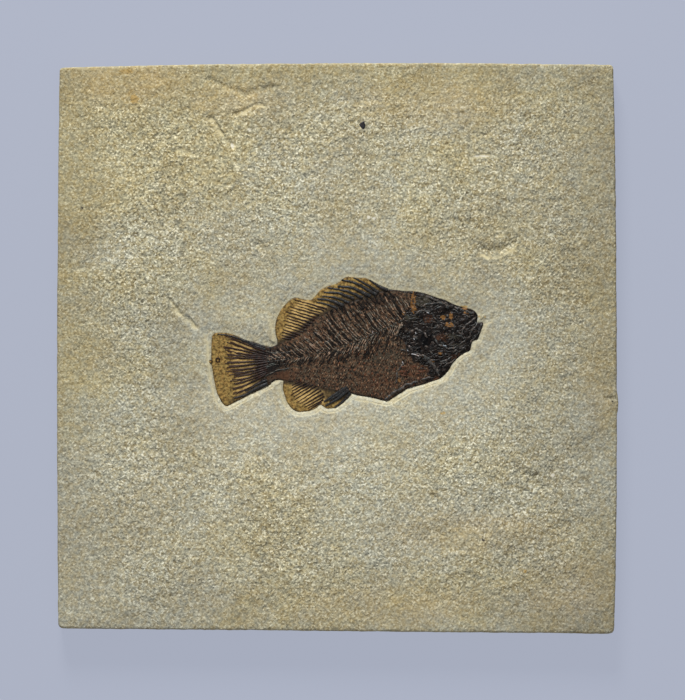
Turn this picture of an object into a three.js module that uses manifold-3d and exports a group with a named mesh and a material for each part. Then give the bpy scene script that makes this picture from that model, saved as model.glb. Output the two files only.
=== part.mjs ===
// Fossil fish slab: a sawn square of buff limestone lying on its back, with a flattened
// perch-like fish in a shallow trough scraped into its face. Millimetres, +Z up out of the face,
// +Y towards the fish's back, +X towards its snout. The origin is the centre of the underside.

import * as THREE from "three";
import { mergeVertices } from "three/addons/utils/BufferGeometryUtils.js";
import Module from "manifold-3d";

const wasm = await Module();
wasm.setup();

// Slab
const SLAB_THICKNESS = 14;
const SLAB_EDGE_BREAK = 0.5;
const TOP_LEFT = { at: [-139.2, 140.6], worn: 2 };
const TOP_RIGHT = { at: [138.1, 141.9], worn: 2.2 };
const BOTTOM_RIGHT = { at: [138.4, -142.9], worn: 3 };
const BOTTOM_LEFT = { at: [-139.9, -140.3], worn: 3 };
const TOP_EDGE_BOW = 1.5;
const LEFT_EDGE_BOW = 0.9;
const NUB = { edge: 139.8, top: -22, bottom: -34, stands: 0.75 };

// Trough scraped around the fish
const TROUGH_DEPTH = 2;
const TROUGH_FLOOR_MARGIN = 0.4;
const TROUGH_WALL_RUN = 1.7;

// Fish, lying on the floor of the trough
const FIN_THICKNESS = 0.7;
const BODY_PLATE = 0.9;
const BODY_CROWN = 0.7;
const BODY_CROWN_RUN = 0.8;

// Black fragment sunk in the face
const FLECK_SUNK = 0.8;
const FLECK_STANDS = 0.4;
const FLECK_GAP = 0.3;

// Outlines seen from above: points that smooth curves run through
const TRUNK = [
  [-35.8, 0.8], [-32.8, 0.8], [-30.6, 1.8], [-28.3, 3.5], [-25.3, 4.8], [-22.3, 6],
  [-19.8, 7.9], [-16.8, 10.7], [-13.8, 13.4], [-9.8, 15.9], [-5.8, 18.4], [-1.8, 20.9],
  [2.2, 22.4], [7.2, 23.7], [12.2, 24.9], [17.2, 26.4], [21.2, 28.1], [24.7, 29.4],
  [29.2, 29.2], [33.7, 28.6], [38.7, 28.5], [45.2, 27], [49.2, 25.5], [53.2, 24.4],
  [57.2, 22.4], [61.2, 21], [66.2, 19.7], [68.4, 18.7], [70, 16.6], [69.8, 14.2],
  [69.3, 10.2], [68.2, 5.2], [66.9, 2.2], [66.3, -1], [63.7, -2.2], [60.4, -4.5],
  [57.4, -7.6], [55.7, -10.8], [53.4, -13.3], [51.2, -15.2], [47.7, -16.4], [43.7, -17.8],
  [39.2, -19], [35.7, -19.8], [31.7, -22.3], [27.7, -24.8], [24.9, -26.4], [19.7, -25.3],
  [15.2, -24.3], [10.7, -23.7], [6.4, -22.6], [-0.3, -21.8], [-7.3, -20.6], [-14.3, -19.2],
  [-20.3, -17.7], [-26.3, -16.3], [-29.3, -15.8], [-32.3, -16.3], [-34.8, -18.1],
];
const LOWER_JAW = [
  [67.7, 3.7], [66.7, 8.7], [68.2, 11.8], [71.2, 12.8], [72.4, 13], [72.8, 11.9],
  [71.5, 8.4], [70.3, 4.9], [69.2, 4.2],
];
const TAIL_FIN = [
  [-61.8, 7.4], [-58.8, 7.8], [-55.3, 7.6], [-51.3, 6.5], [-47.8, 4.9], [-44.8, 3.7],
  [-41.3, 3], [-37.8, 1.4], [-30, -1], [-30, -14.5], [-37.3, -19.8], [-40.8, -21.5],
  [-44.3, -23.2], [-47.8, -25.1], [-50.8, -26.6], [-54.1, -28.3], [-55.8, -28.8],
  [-57.6, -27.3], [-59.9, -23.3], [-60.9, -19.8], [-61.7, -16.3], [-62.5, -11.8],
  [-63.1, -6.8], [-63.2, -1.3], [-63.1, 3.7], [-62.7, 6.2],
];
const SOFT_DORSAL_EDGE = [
  [-30.3, 1.9], [-30.2, 3.7], [-30.8, 6.2], [-31.2, 9.2], [-31, 12.2], [-30.3, 15.2],
  [-29.2, 17.7], [-27.8, 20], [-26.1, 22], [-24.2, 23.8], [-22.3, 25], [-20.3, 25.3],
  [-18.3, 24.8], [-15.8, 24.3], [-13.1, 24.2],
];
const SPINY_DORSAL_EDGE = [
  [-13.1, 24.2], [-11.3, 26], [-9.6, 28.2], [-7.3, 29.9], [-4.3, 31.2], [-1.3, 32],
  [1.2, 33.4], [3.2, 35.2], [5.2, 35.8], [8.2, 35.5], [11.2, 35.2], [14.2, 35.2],
  [16.7, 33.8], [19.7, 32.2], [22.7, 30.6], [24.9, 29.3],
];
const DORSAL_ROOT = [[24.9, 29.3], [20, 24], [0, 16], [-14, 8], [-27, 0]];
const SPINY_ANAL_EDGE = [
  [7.2, -22.5], [5.7, -23.7], [3.9, -25.5], [1.9, -27.4], [0.2, -28.8], [-1.6, -29.8],
  [-3.6, -30], [-5.6, -30], [-7.3, -28.9], [-8.9, -27.9],
];
const SOFT_ANAL_EDGE = [
  [-8.9, -27.9], [-10.8, -29.7], [-13.1, -31], [-15.8, -31.5], [-18.8, -31.8], [-21.1, -31.2],
  [-23.1, -29.7], [-24.7, -27.8], [-25.7, -25.8], [-26.4, -23.6], [-27.2, -21.1],
  [-27.4, -19.1], [-27.1, -16.5],
];
const ANAL_ROOT = [[-27.1, -16.5], [-22, -12], [0, -16]];
const FLECK = [
  [10.5, 111.7], [12.3, 113.4], [13.6, 113.9], [13.5, 112.5], [14, 111.4], [13.1, 109.2],
  [11.7, 108.7], [11.2, 109], [11.4, 109.9],
];

// Worked out from the sizes above
const FLOOR_HEIGHT = SLAB_THICKNESS - TROUGH_DEPTH;
const FLECK_FLOOR = SLAB_THICKNESS - FLECK_SUNK;
const CUT_CLEARANCE = 5;
const CROWN_OVERLAP = 0.1;
const CURVE_STEPS = 2;
const CORNER_STEPS = 8;
const WELD_DISTANCE = 1e-4;

const limestone = new THREE.MeshStandardMaterial({ color: 0xa79f80, roughness: 0.92, metalness: 0 });
const fishBone = new THREE.MeshStandardMaterial({ color: 0x3f342b, roughness: 0.5, metalness: 0 });
const blackBone = new THREE.MeshStandardMaterial({ color: 0x1b1a1b, roughness: 0.4, metalness: 0 });

const vectors = (points) => points.map(([x, y]) => new THREE.Vector2(x, y));

// A closed shape whose outline runs smoothly along each stretch of points and turns sharply
// where one stretch meets the next.
function outline(...stretches) {
  const shape = new THREE.Shape();
  shape.moveTo(...stretches[0][0]);
  for (const stretch of stretches) {
    shape.splineThru(vectors(stretch.slice(1)));
  }
  shape.closePath();
  return shape;
}

// A closed geometry as a solid that can be joined and cut.
function solid(geometry) {
  const bare = geometry.clone();
  bare.deleteAttribute("normal");
  bare.deleteAttribute("uv");
  const welded = mergeVertices(bare, WELD_DISTANCE);
  return new wasm.Manifold(new wasm.Mesh({
    numProp: 3,
    vertProperties: new Float32Array(welded.attributes.position.array),
    triVerts: new Uint32Array(welded.index.array),
  }));
}

// A solid as a named mesh with its material.
function piece(name, body, material) {
  const { vertProperties, triVerts } = body.getMesh();
  const geometry = new THREE.BufferGeometry();
  geometry.setAttribute("position", new THREE.BufferAttribute(vertProperties, 3));
  geometry.setIndex(new THREE.BufferAttribute(triVerts, 1));
  geometry.computeVertexNormals();
  const mesh = new THREE.Mesh(geometry, material);
  mesh.name = name;
  return mesh;
}

// A straight-sided plate of an outline between two heights.
function plate(shape, bottom, top) {
  const settings = { depth: top - bottom, bevelEnabled: false, curveSegments: CURVE_STEPS };
  return solid(new THREE.ExtrudeGeometry(shape, settings).translate(0, 0, bottom));
}

// A cutter that starts `margin` outside an outline at the bottom, slopes out by `run` over
// `rise`, and goes straight up from there.
function flaredCutter(shape, bottom, rise, margin, run) {
  const settings = {
    depth: CUT_CLEARANCE,
    bevelThickness: rise,
    bevelSize: run,
    bevelOffset: margin,
    bevelSegments: 1,
    curveSegments: CURVE_STEPS,
  };
  return solid(new THREE.ExtrudeGeometry(shape, settings).translate(0, 0, bottom + rise));
}

// The rounded top of a plate, which curves in from the outline as it rises.
function crown(shape, plateTop, rise, run) {
  const settings = {
    depth: CROWN_OVERLAP,
    bevelThickness: rise,
    bevelSize: run,
    bevelOffset: -run,
    bevelSegments: 2,
    curveSegments: CURVE_STEPS,
  };
  return solid(new THREE.ExtrudeGeometry(shape, settings).translate(0, 0, plateTop - CROWN_OVERLAP));
}

// The point at a distance from one corner towards another.
function towards([x, y], [u, v], distance) {
  const share = distance / Math.hypot(u - x, v - y);
  return [x + (u - x) * share, y + (v - y) * share];
}

// Where the outline enters and leaves a worn corner.
function wornCorner(corner, before, after) {
  return {
    enter: towards(corner.at, before.at, corner.worn),
    leave: towards(corner.at, after.at, corner.worn),
  };
}

// The sawn outline: slightly bowed sides, worn corners, and a nub left on the right side.
function slabOutline() {
  const topLeft = wornCorner(TOP_LEFT, BOTTOM_LEFT, TOP_RIGHT);
  const topRight = wornCorner(TOP_RIGHT, TOP_LEFT, BOTTOM_RIGHT);
  const bottomRight = wornCorner(BOTTOM_RIGHT, TOP_RIGHT, BOTTOM_LEFT);
  const bottomLeft = wornCorner(BOTTOM_LEFT, BOTTOM_RIGHT, TOP_LEFT);
  const topMiddle = (TOP_LEFT.at[1] + TOP_RIGHT.at[1]) / 2;
  const leftMiddle = (TOP_LEFT.at[0] + BOTTOM_LEFT.at[0]) / 2;
  const nubMiddle = (NUB.top + NUB.bottom) / 2;
  const shape = new THREE.Shape();
  shape.moveTo(...topLeft.leave);
  shape.quadraticCurveTo(0, topMiddle + 2 * TOP_EDGE_BOW, ...topRight.enter);
  shape.quadraticCurveTo(...TOP_RIGHT.at, ...topRight.leave);
  shape.quadraticCurveTo(NUB.edge, TOP_RIGHT.at[1] / 2, NUB.edge, NUB.top);
  shape.quadraticCurveTo(NUB.edge + 2 * NUB.stands, nubMiddle, NUB.edge, NUB.bottom);
  shape.quadraticCurveTo(NUB.edge, (NUB.bottom + 2 * BOTTOM_RIGHT.at[1]) / 3, ...bottomRight.enter);
  shape.quadraticCurveTo(...BOTTOM_RIGHT.at, ...bottomRight.leave);
  shape.lineTo(...bottomLeft.enter);
  shape.quadraticCurveTo(...BOTTOM_LEFT.at, ...bottomLeft.leave);
  shape.quadraticCurveTo(leftMiddle - 2 * LEFT_EDGE_BOW, 0, ...topLeft.enter);
  shape.quadraticCurveTo(...TOP_LEFT.at, ...topLeft.leave);
  return shape;
}

// The stone before anything is cut, with its edges eased.
function sawnBlock() {
  const settings = {
    depth: SLAB_THICKNESS - 2 * SLAB_EDGE_BREAK,
    bevelThickness: SLAB_EDGE_BREAK,
    bevelSize: SLAB_EDGE_BREAK,
    bevelOffset: -SLAB_EDGE_BREAK,
    bevelSegments: 1,
    curveSegments: CORNER_STEPS,
  };
  return solid(new THREE.ExtrudeGeometry(slabOutline(), settings).translate(0, 0, SLAB_EDGE_BREAK));
}

const trunk = outline(TRUNK);
const lowerJaw = outline(LOWER_JAW);
const tailFin = outline(TAIL_FIN);
const dorsalFin = outline(SOFT_DORSAL_EDGE, SPINY_DORSAL_EDGE, DORSAL_ROOT);
const analFin = outline(SPINY_ANAL_EDGE, SOFT_ANAL_EDGE, ANAL_ROOT);
const fleckShape = new THREE.Shape(vectors(FLECK));

const fins = [tailFin, dorsalFin, analFin];
const bodyPlates = [trunk, lowerJaw];

// The slab, with the trough following the fish and a socket for the fragment
function buildSlab() {
  let stone = sawnBlock();
  for (const shape of [...bodyPlates, ...fins]) {
    stone = stone.subtract(
      flaredCutter(shape, FLOOR_HEIGHT, TROUGH_DEPTH, TROUGH_FLOOR_MARGIN, TROUGH_WALL_RUN),
    );
  }
  stone = stone.subtract(flaredCutter(fleckShape, FLECK_FLOOR, FLECK_SUNK, FLECK_GAP, 0));
  return piece("slab", stone, limestone);
}

// The fish: thin fins joined to a thicker, crowned body and jaw
function buildFish() {
  let fish = crown(trunk, FLOOR_HEIGHT + BODY_PLATE, BODY_CROWN, BODY_CROWN_RUN);
  for (const shape of bodyPlates) {
    fish = fish.add(plate(shape, FLOOR_HEIGHT, FLOOR_HEIGHT + BODY_PLATE));
  }
  for (const shape of fins) {
    fish = fish.add(plate(shape, FLOOR_HEIGHT, FLOOR_HEIGHT + FIN_THICKNESS));
  }
  return piece("fish", fish, fishBone);
}

// The fragment of black bone
function buildFleck() {
  return piece("fleck", plate(fleckShape, FLECK_FLOOR, SLAB_THICKNESS + FLECK_STANDS), blackBone);
}

const fossilFishSlab = new THREE.Group();
fossilFishSlab.add(buildSlab(), buildFish(), buildFleck());

export default fossilFishSlab;
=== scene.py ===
"""Looks of a fossil fish slab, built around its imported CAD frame.

The slab lies on its back, fossil face up (+Z), with +Y towards the fish's back and +X towards its
snout. Sizes are in millimetres and become metres where a mesh is made.
"""

from __future__ import annotations

import logging
import math
from dataclasses import dataclass
from enum import Enum
from functools import cache
from typing import Any

import bpy
import numpy as np
from mathutils.geometry import delaunay_2d_cdt
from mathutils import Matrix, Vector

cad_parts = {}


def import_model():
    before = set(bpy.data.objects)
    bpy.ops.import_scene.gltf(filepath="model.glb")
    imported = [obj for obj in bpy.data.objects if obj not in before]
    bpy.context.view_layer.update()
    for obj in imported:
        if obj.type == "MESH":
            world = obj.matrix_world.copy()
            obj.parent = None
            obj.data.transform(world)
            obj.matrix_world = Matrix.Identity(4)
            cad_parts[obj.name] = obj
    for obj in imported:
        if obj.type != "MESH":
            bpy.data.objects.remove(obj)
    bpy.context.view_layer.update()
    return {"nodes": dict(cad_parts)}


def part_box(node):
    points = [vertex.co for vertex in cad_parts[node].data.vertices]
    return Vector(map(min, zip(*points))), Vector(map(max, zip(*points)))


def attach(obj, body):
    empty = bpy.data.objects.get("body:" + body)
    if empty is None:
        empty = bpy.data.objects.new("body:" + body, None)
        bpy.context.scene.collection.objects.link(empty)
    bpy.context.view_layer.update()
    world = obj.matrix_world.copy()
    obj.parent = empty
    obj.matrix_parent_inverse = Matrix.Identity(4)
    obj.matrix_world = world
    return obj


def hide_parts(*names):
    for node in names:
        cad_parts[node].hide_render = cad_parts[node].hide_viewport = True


LOG = logging.getLogger("fossil_fish_slab")
MM = 0.001
SWEEP_STEP = 0.7
WOBBLE_SIZE = 2.5
LEAST_POINTS = 3

Pair = tuple[float, float]
Path = tuple[Pair, ...]
Colour = tuple[float, float, float, float]
Array = np.ndarray
Piece = bpy.types.Object
Material = bpy.types.Material


class Slot(Enum):
    """The record's material slots."""

    LIMESTONE = "limestone"
    FISH_BONE = "fish_bone"
    BLACK_BONE = "black_bone"


class Tint(Enum):
    """Point attributes that the finishes and the geometry trees read."""

    ROUGH = "rough"
    WARM = "warm"
    SCRAPED_AND_LIT = "scraped"
    DARK = "dark_spot"
    PALE = "pale_spot"
    RUST = "rust_spot"
    # black paint, and the painted shade along the body's outline
    HEAD = "head"
    RED = "red"
    ALONG = "along"
    GIRTH = "girth"
    TURN = "turn"
    SIZE = "size"
    # painted light and shade, as a brightness factor
    LIGHT = "light"
    LEVEL = "level"


class RayKind(Enum):
    """Whether a fin's rays are hard spines or soft rays, as its pieces are named."""

    SPINE = "spines"
    SOFT = "rays"


class Bone(Enum):
    """The kinds of fossil bone, by the name of their material."""

    TRUNK = "trunk_bone"
    FIN_SKIN = "fin_skin"
    RAY = "ray_bone"
    SPINE = "spine_bone"
    FIN_SPINE = "fin_spine_bone"
    RIB = "rib_bone"
    BACKBONE = "backbone_bone"
    SCALE = "scale_bone"
    RUSTY = "rust_scale"
    SKULL = "skull_bone"
    CHIP = "chip_bone"
    BLACK = "black_bone"


@dataclass(frozen=True)
class Patches:
    """Patches of one tint, listed: x, y, half width, half height and strength of each."""

    tint: Tint
    rows: tuple[tuple[float, float, float, float, float], ...]


@dataclass(frozen=True)
class ToolMark:
    """A scrape, nick or ledge: a path, its width and depth, and how fresh it looks."""

    path: Path
    width: float
    depth: float
    # how pale the mark is painted: fresh scraped stone, and on narrow raised rims a painted highlight
    fresh: float = 0.0


def seen(*channels: int) -> Colour:
    """Turns a colour as the eye sees it into linear light.

    Args:
        channels: red, green and blue, each 0 to 255.

    Returns:
        Linear red, green, blue and full alpha.
    """
    shares = [channel / 255 for channel in channels]
    linear = [part / 12.92 if part <= 0.04045 else ((part + 0.055) / 1.055) ** 2.4 for part in shares]
    return (*linear, 1.0)


def ease(values: Array) -> Array:
    """Smooth step from 0 to 1 of values that run from 0 to 1."""
    held = np.clip(values, 0.0, 1.0)
    return held * held * (3.0 - 2.0 * held)


def evenly(path: Array, spacing: float) -> Array:
    """Steps along a line of points at even distances.

    Args:
        path: points of the line, in two or three dimensions.
        spacing: wanted distance between points.

    Returns:
        Points along the same line, ends included.
    """
    runs = np.linalg.norm(np.diff(path, axis=0), axis=1)
    along = np.concatenate([[0.0], np.cumsum(runs)])
    count = max(2, int(round(along[-1] / spacing)) + 1)
    places = np.linspace(0.0, along[-1], count)
    return np.column_stack([np.interp(places, along, part) for part in path.T])


def curve_through(knots: Path | Array, spacing: float) -> Array:
    """Runs a smooth curve through given points.

    Args:
        knots: the points, in two or three dimensions.
        spacing: distance between the points that come back.

    Returns:
        Evenly stepped points of the curve.
    """
    given = np.array(knots, float)
    padded = np.vstack([2 * given[0] - given[1], given, 2 * given[-1] - given[-2]])
    share = np.linspace(0.0, 1.0, 12, endpoint=False)[:, None]
    runs = [
        0.5
        * (
            2 * b
            + (c - a) * share
            + (2 * a - 5 * b + 4 * c - d) * share**2
            + (3 * b - a - 3 * c + d) * share**3
        )
        for a, b, c, d in zip(padded, padded[1:], padded[2:], padded[3:])
    ]
    return evenly(np.vstack([*runs, given[-1:]]), spacing)


def nearest_on(points: Array, path: Array) -> tuple[Array, Array]:
    """Measures from points to a line.

    Args:
        points: where to measure from.
        path: points of the line.

    Returns:
        The distance from each point, and the nearest place on the line.
    """
    best = np.full(len(points), np.inf)
    place = np.zeros_like(points)
    for start, end in zip(path[:-1], path[1:]):
        run = end - start
        share = np.clip(((points - start) @ run) / max(float(run @ run), 1e-12), 0.0, 1.0)
        on = start + share[:, None] * run
        gap = np.linalg.norm(points - on, axis=1)
        closer = gap < best
        best[closer] = gap[closer]
        place[closer] = on[closer]
    return best, place


def is_inside(points: Array, loop: Array) -> Array:
    """Says which points lie inside a closed loop.

    Args:
        points: points to test.
        loop: corners of the loop, the first not repeated.

    Returns:
        True for each point inside.
    """
    x, y = points.T
    found = np.zeros(len(points), bool)
    for (x0, y0), (x1, y1) in zip(loop, np.roll(loop, -1, axis=0)):
        if y0 == y1:
            continue
        crosses = (y0 > y) != (y1 > y)
        found ^= crosses & (x < x0 + (y - y0) * (x1 - x0) / (y1 - y0))
    return found


def closed(loop: Array) -> Array:
    """The loop with its first point repeated at the end."""
    return np.vstack([loop, loop[:1]])


def offset_loop(loop: Array, distance: float | Array) -> Array:
    """Moves a counter-clockwise loop outwards.

    Args:
        loop: corners of the loop.
        distance: how far, one number or one for each corner; negative moves inwards.

    Returns:
        The moved loop.
    """
    ahead = np.roll(loop, -1, axis=0) - np.roll(loop, 1, axis=0)
    outward = np.column_stack([ahead[:, 1], -ahead[:, 0]])
    outward /= np.linalg.norm(outward, axis=1, keepdims=True)
    return loop + outward * np.reshape(distance, (-1, 1))


def lattice_noise(points: Array, pitch: float, seed: int) -> Array:
    """Smooth random heights over the plane.

    Args:
        points: places in the plane.
        pitch: distance between bumps.
        seed: fixed seed of the pattern.

    Returns:
        A height from -1 to 1 for each place.
    """
    table = np.random.default_rng(seed).uniform(-1.0, 1.0, (64, 64))
    grid = points / pitch
    cell = np.floor(grid).astype(int)
    part = ease(grid - cell)
    column, row = cell[:, 0] % 64, cell[:, 1] % 64
    right, above = (column + 1) % 64, (row + 1) % 64
    low = table[column, row] * (1 - part[:, 0]) + table[right, row] * part[:, 0]
    high = table[column, above] * (1 - part[:, 0]) + table[right, above] * part[:, 0]
    return low * (1 - part[:, 1]) + high * part[:, 1]


def scatter_grid(loop: Array, spacing: float, clear: float, seed: int) -> Array:
    """Fills a loop with a slightly shaken triangular grid of points.

    Args:
        loop: corners of the loop.
        spacing: distance between points.
        clear: how far the points keep from the loop.
        seed: fixed seed of the shake.

    Returns:
        The points inside.
    """
    low, high = loop.min(axis=0), loop.max(axis=0)
    row_step = spacing * math.sqrt(3.0) / 2.0
    rows = np.arange(low[1], high[1], row_step)
    columns = np.arange(low[0], high[0], spacing)
    x, y = np.meshgrid(columns, rows)
    x = x + (np.arange(len(rows)) % 2)[:, None] * spacing / 2.0
    points = np.column_stack([x.ravel(), y.ravel()])
    points += np.random.default_rng(seed).uniform(-0.2, 0.2, points.shape) * spacing
    points = points[is_inside(points, loop)]
    return points[nearest_on(points, closed(loop))[0] > clear]


def triangulate(loop: Array, inner: Array) -> Array:
    """Fills a loop with triangles that use the points inside it.

    Args:
        loop: corners of the loop.
        inner: points inside.

    Returns:
        Triangles facing up, numbering the loop's corners first and then the inner points.
    """
    count = len(loop)
    sides = [(i, (i + 1) % count) for i in range(count)]
    found = delaunay_2d_cdt(np.vstack([loop, inner]).tolist(), sides, [], 1, 1e-6)
    source = np.array([origin[0] for origin in found[3]])
    return source[np.array(found[2])]


def skirt(upper: Array, lower: Array) -> Array:
    """Joins two loops of point numbers, one above the other, with outward triangles.

    Args:
        upper: numbers of the upper loop's points, counter-clockwise from above.
        lower: numbers of the lower loop's points, in the same order.

    Returns:
        The triangles.
    """
    upper_next, lower_next = np.roll(upper, -1), np.roll(lower, -1)
    first = np.column_stack([upper, lower, lower_next])
    second = np.column_stack([upper, lower_next, upper_next])
    return np.vstack([first, second])


def mesh_piece(name: str, points: Array, faces: Array) -> Piece:
    """Makes an object of points in millimetres.

    Args:
        name: the piece's name.
        points: its points.
        faces: its faces, or its edges where a row holds two numbers.

    Returns:
        The object, linked into the scene.
    """
    mesh = bpy.data.meshes.new(name)
    rows = np.asarray(faces).tolist()
    is_wire = bool(rows) and len(rows[0]) == 2
    mesh.from_pydata((np.asarray(points) * MM).tolist(), rows if is_wire else [], [] if is_wire else rows)
    mesh.update()
    piece = bpy.data.objects.new(name, mesh)
    bpy.context.scene.collection.objects.link(piece)
    return piece


def paint(piece: Piece, tint: Tint, values: Array) -> None:
    """Stores one number at each point of a piece.

    Args:
        piece: the piece.
        tint: which attribute the numbers are.
        values: the numbers.
    """
    layer = piece.data.attributes.new(tint.value, "FLOAT", "POINT")
    layer.data.foreach_set("value", np.asarray(values, np.float32))


def spot_mask(points: Array, spots: tuple[Patches, ...], tint: Tint) -> Array:
    """Says how strongly the soft patches of one tint cover each place.

    Args:
        points: places in the plane.
        spots: the patches.
        tint: the tint that counts.

    Returns:
        A strength for each place, 0 away from the patches.
    """
    mask = np.zeros(len(points))
    rows = [row for group in spots if group.tint is tint for row in group.rows]
    for x, y, wide, high, strength in rows:
        reach = np.linalg.norm((points - np.array((x, y))) / np.array((wide, high)), axis=1)
        mask = np.maximum(mask, strength * ease(1.5 - reach))
    return mask


def plate(
    name: str, loop: Array, inner: Array, top: Array, base: float, tints: dict[Tint, Array]
) -> Piece:
    """Makes a closed plate with an uneven top and a flat, smooth underside.

    Args:
        name: the piece's name.
        loop: its outline.
        inner: points inside the outline.
        top: height of each point, the outline's first.
        base: height of the underside.
        tints: numbers to store at the same points; the underside takes the outline's.

    Returns:
        The plate.
    """
    count = len(loop)
    flat = np.vstack([loop, inner])
    upper = np.column_stack([flat, top])
    lower = np.column_stack([loop, np.full(count, base)])
    lower_numbers = np.arange(count) + len(upper)
    under = lower_numbers[triangulate(loop, loop[:0])][:, ::-1]
    faces = np.vstack([triangulate(loop, inner), skirt(np.arange(count), lower_numbers), under])
    piece = mesh_piece(name, np.vstack([upper, lower]), faces)
    for tint, values in tints.items():
        below = np.zeros(count) if tint is Tint.ROUGH else values[:count]
        paint(piece, tint, np.concatenate([values, below]))
    return piece


def bottom_loop(node: Piece) -> Array:
    """Reads the outline of a CAD node's flat underside.

    Args:
        node: the CAD node's object.

    Returns:
        The outline in millimetres, counter-clockwise from above.
    """
    mesh = node.data
    mesh.calc_loop_triangles()
    loose = np.array([vertex.co for vertex in mesh.vertices]) / MM
    corners, number = np.unique(np.round(loose, 3), axis=0, return_inverse=True)
    triangles = number.reshape(-1)[np.array([part.vertices for part in mesh.loop_triangles])]
    lowest = corners[:, 2].min() + 0.01
    under = triangles[np.all(corners[triangles][:, :, 2] < lowest, axis=1)]
    sides = {(int(t[i]), int(t[(i + 1) % 3])) for t in under for i in range(3)}
    follow = {a: b for a, b in sides if (b, a) not in sides}
    walk = [min(follow)]
    while follow[walk[-1]] != walk[0]:
        walk.append(follow[walk[-1]])
    return corners[walk][::-1, :2]


def add_node(tree: Any, kind: str, inputs: dict[Any, Any] | None = None, **settings: Any) -> Any:
    """Adds a node to a tree.

    Args:
        tree: the tree.
        kind: the node's type.
        inputs: socket name or number to a value, or to the socket that feeds it.
        settings: the node's own properties.

    Returns:
        The node.
    """
    made = tree.nodes.new(kind)
    for key, value in settings.items():
        setattr(made, key, value)
    for key, value in (inputs or {}).items():
        if isinstance(value, bpy.types.NodeSocket):
            tree.links.new(value, made.inputs[key])
        else:
            made.inputs[key].default_value = value
    return made


def math_node(tree: Any, operation: str, *values: Any) -> Any:
    """Adds a Math node and gives its result's socket."""
    return add_node(tree, "ShaderNodeMath", dict(enumerate(values)), operation=operation).outputs[0]


def mix_colour(tree: Any, factor: Any, first: Any, second: Any, blend: str = "MIX") -> Any:
    """Adds a colour Mix node and gives its result's socket."""
    inputs = {0: factor, 6: first, 7: second}
    return add_node(tree, "ShaderNodeMix", inputs, data_type="RGBA", blend_type=blend).outputs[2]


def attribute(tree: Any, tint: Tint) -> Any:
    """Reads a painted attribute in a material and gives its socket."""
    return add_node(tree, "ShaderNodeAttribute", attribute_name=tint.value).outputs["Fac"]


def named_attribute(tree: Any, tint: Tint) -> Any:
    """Reads a painted attribute in a geometry tree and gives its socket."""
    made = add_node(tree, "GeometryNodeInputNamedAttribute", {"Name": tint.value}, data_type="FLOAT")
    return made.outputs[0]


def open_tree(name: str, kind: str, inputs: dict[str, str], outputs: dict[str, str]) -> tuple[Any, Any, Any]:
    """Starts a node group with named sockets.

    Args:
        name: the group's name.
        kind: the tree's type.
        inputs: socket name to socket type.
        outputs: socket name to socket type.

    Returns:
        The tree, its group input node and its group output node.
    """
    tree = bpy.data.node_groups.new(name, kind)
    for label, socket in inputs.items():
        tree.interface.new_socket(label, in_out="INPUT", socket_type=socket)
    for label, socket in outputs.items():
        tree.interface.new_socket(label, in_out="OUTPUT", socket_type=socket)
    return tree, tree.nodes.new("NodeGroupInput"), tree.nodes.new("NodeGroupOutput")


def open_geometry_tree(name: str, sizes: tuple[str, ...]) -> tuple[Any, Any, Any]:
    """Starts a geometry tree that takes a mesh, named sizes and a material.

    Args:
        name: the tree's name.
        sizes: names of its number inputs.

    Returns:
        The tree, its group input node and its group output node.
    """
    inputs = {"Geometry": "NodeSocketGeometry"}
    inputs |= dict.fromkeys(sizes, "NodeSocketFloat")
    inputs |= {"Material": "NodeSocketMaterial"}
    return open_tree(name, "GeometryNodeTree", inputs, {"Geometry": "NodeSocketGeometry"})


def close_geometry_tree(tree: Any, given: Any, result: Any, geometry: Any) -> None:
    """Ends a geometry tree: smooth shading, real geometry and a material.

    Args:
        tree: the tree.
        given: its group input node.
        result: its group output node.
        geometry: the socket with the finished shape.
    """
    smooth = add_node(tree, "GeometryNodeSetShadeSmooth", {"Geometry": geometry})
    real = add_node(tree, "GeometryNodeRealizeInstances", {"Geometry": smooth.outputs[0]})
    dressed = {"Geometry": real.outputs[0], "Material": given.outputs["Material"]}
    done = add_node(tree, "GeometryNodeSetMaterial", dressed)
    tree.links.new(done.outputs[0], result.inputs[0])


def run_tree(piece: Piece, tree: Any, values: dict[str, Any]) -> None:
    """Runs a geometry tree on a piece and keeps the result as its plain mesh, with no modifier left.

    Args:
        piece: the piece.
        tree: the geometry tree.
        values: input name to value.
    """
    modifier = piece.modifiers.new(tree.name, "NODES")
    modifier.node_group = tree
    for item in tree.interface.items_tree:
        if item.item_type == "SOCKET" and item.in_out == "INPUT" and item.name in values:
            modifier[item.identifier] = values[item.name]
    graph = bpy.context.evaluated_depsgraph_get()
    made = bpy.data.meshes.new_from_object(
        piece.evaluated_get(graph), preserve_all_data_layers=True, depsgraph=graph
    )
    piece.modifiers.clear()
    before = piece.data
    piece.data = made
    bpy.data.meshes.remove(before)
    made.name = piece.name


def noise_node(tree: Any, place: Any, size: Any, **inputs: Any) -> Any:
    """Adds a noise texture whose bumps are a given distance apart and gives its node."""
    scale = math_node(tree, "DIVIDE", 1.0, size)
    return add_node(tree, "ShaderNodeTexNoise", {"Vector": place, "Scale": scale, "Detail": 1.0, **inputs})


def noise_bumps(tree: Any, position: Any, size: Any, depth: Any, creased: bool = False) -> Any:
    """Adds noise bumps of a size and depth to a geometry tree.

    Args:
        tree: the tree.
        position: socket with the place.
        size: socket with the distance between bumps.
        depth: socket with their height.
        creased: sharp winding ridges in place of round bumps.

    Returns:
        Socket with the height, above and below zero.
    """
    height = math_node(tree, "SUBTRACT", noise_node(tree, position, size).outputs[0], 0.5)
    if creased:
        height = math_node(tree, "MULTIPLY_ADD", math_node(tree, "ABSOLUTE", height), -3.0, 0.4)
    return math_node(tree, "MULTIPLY", height, depth)


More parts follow.
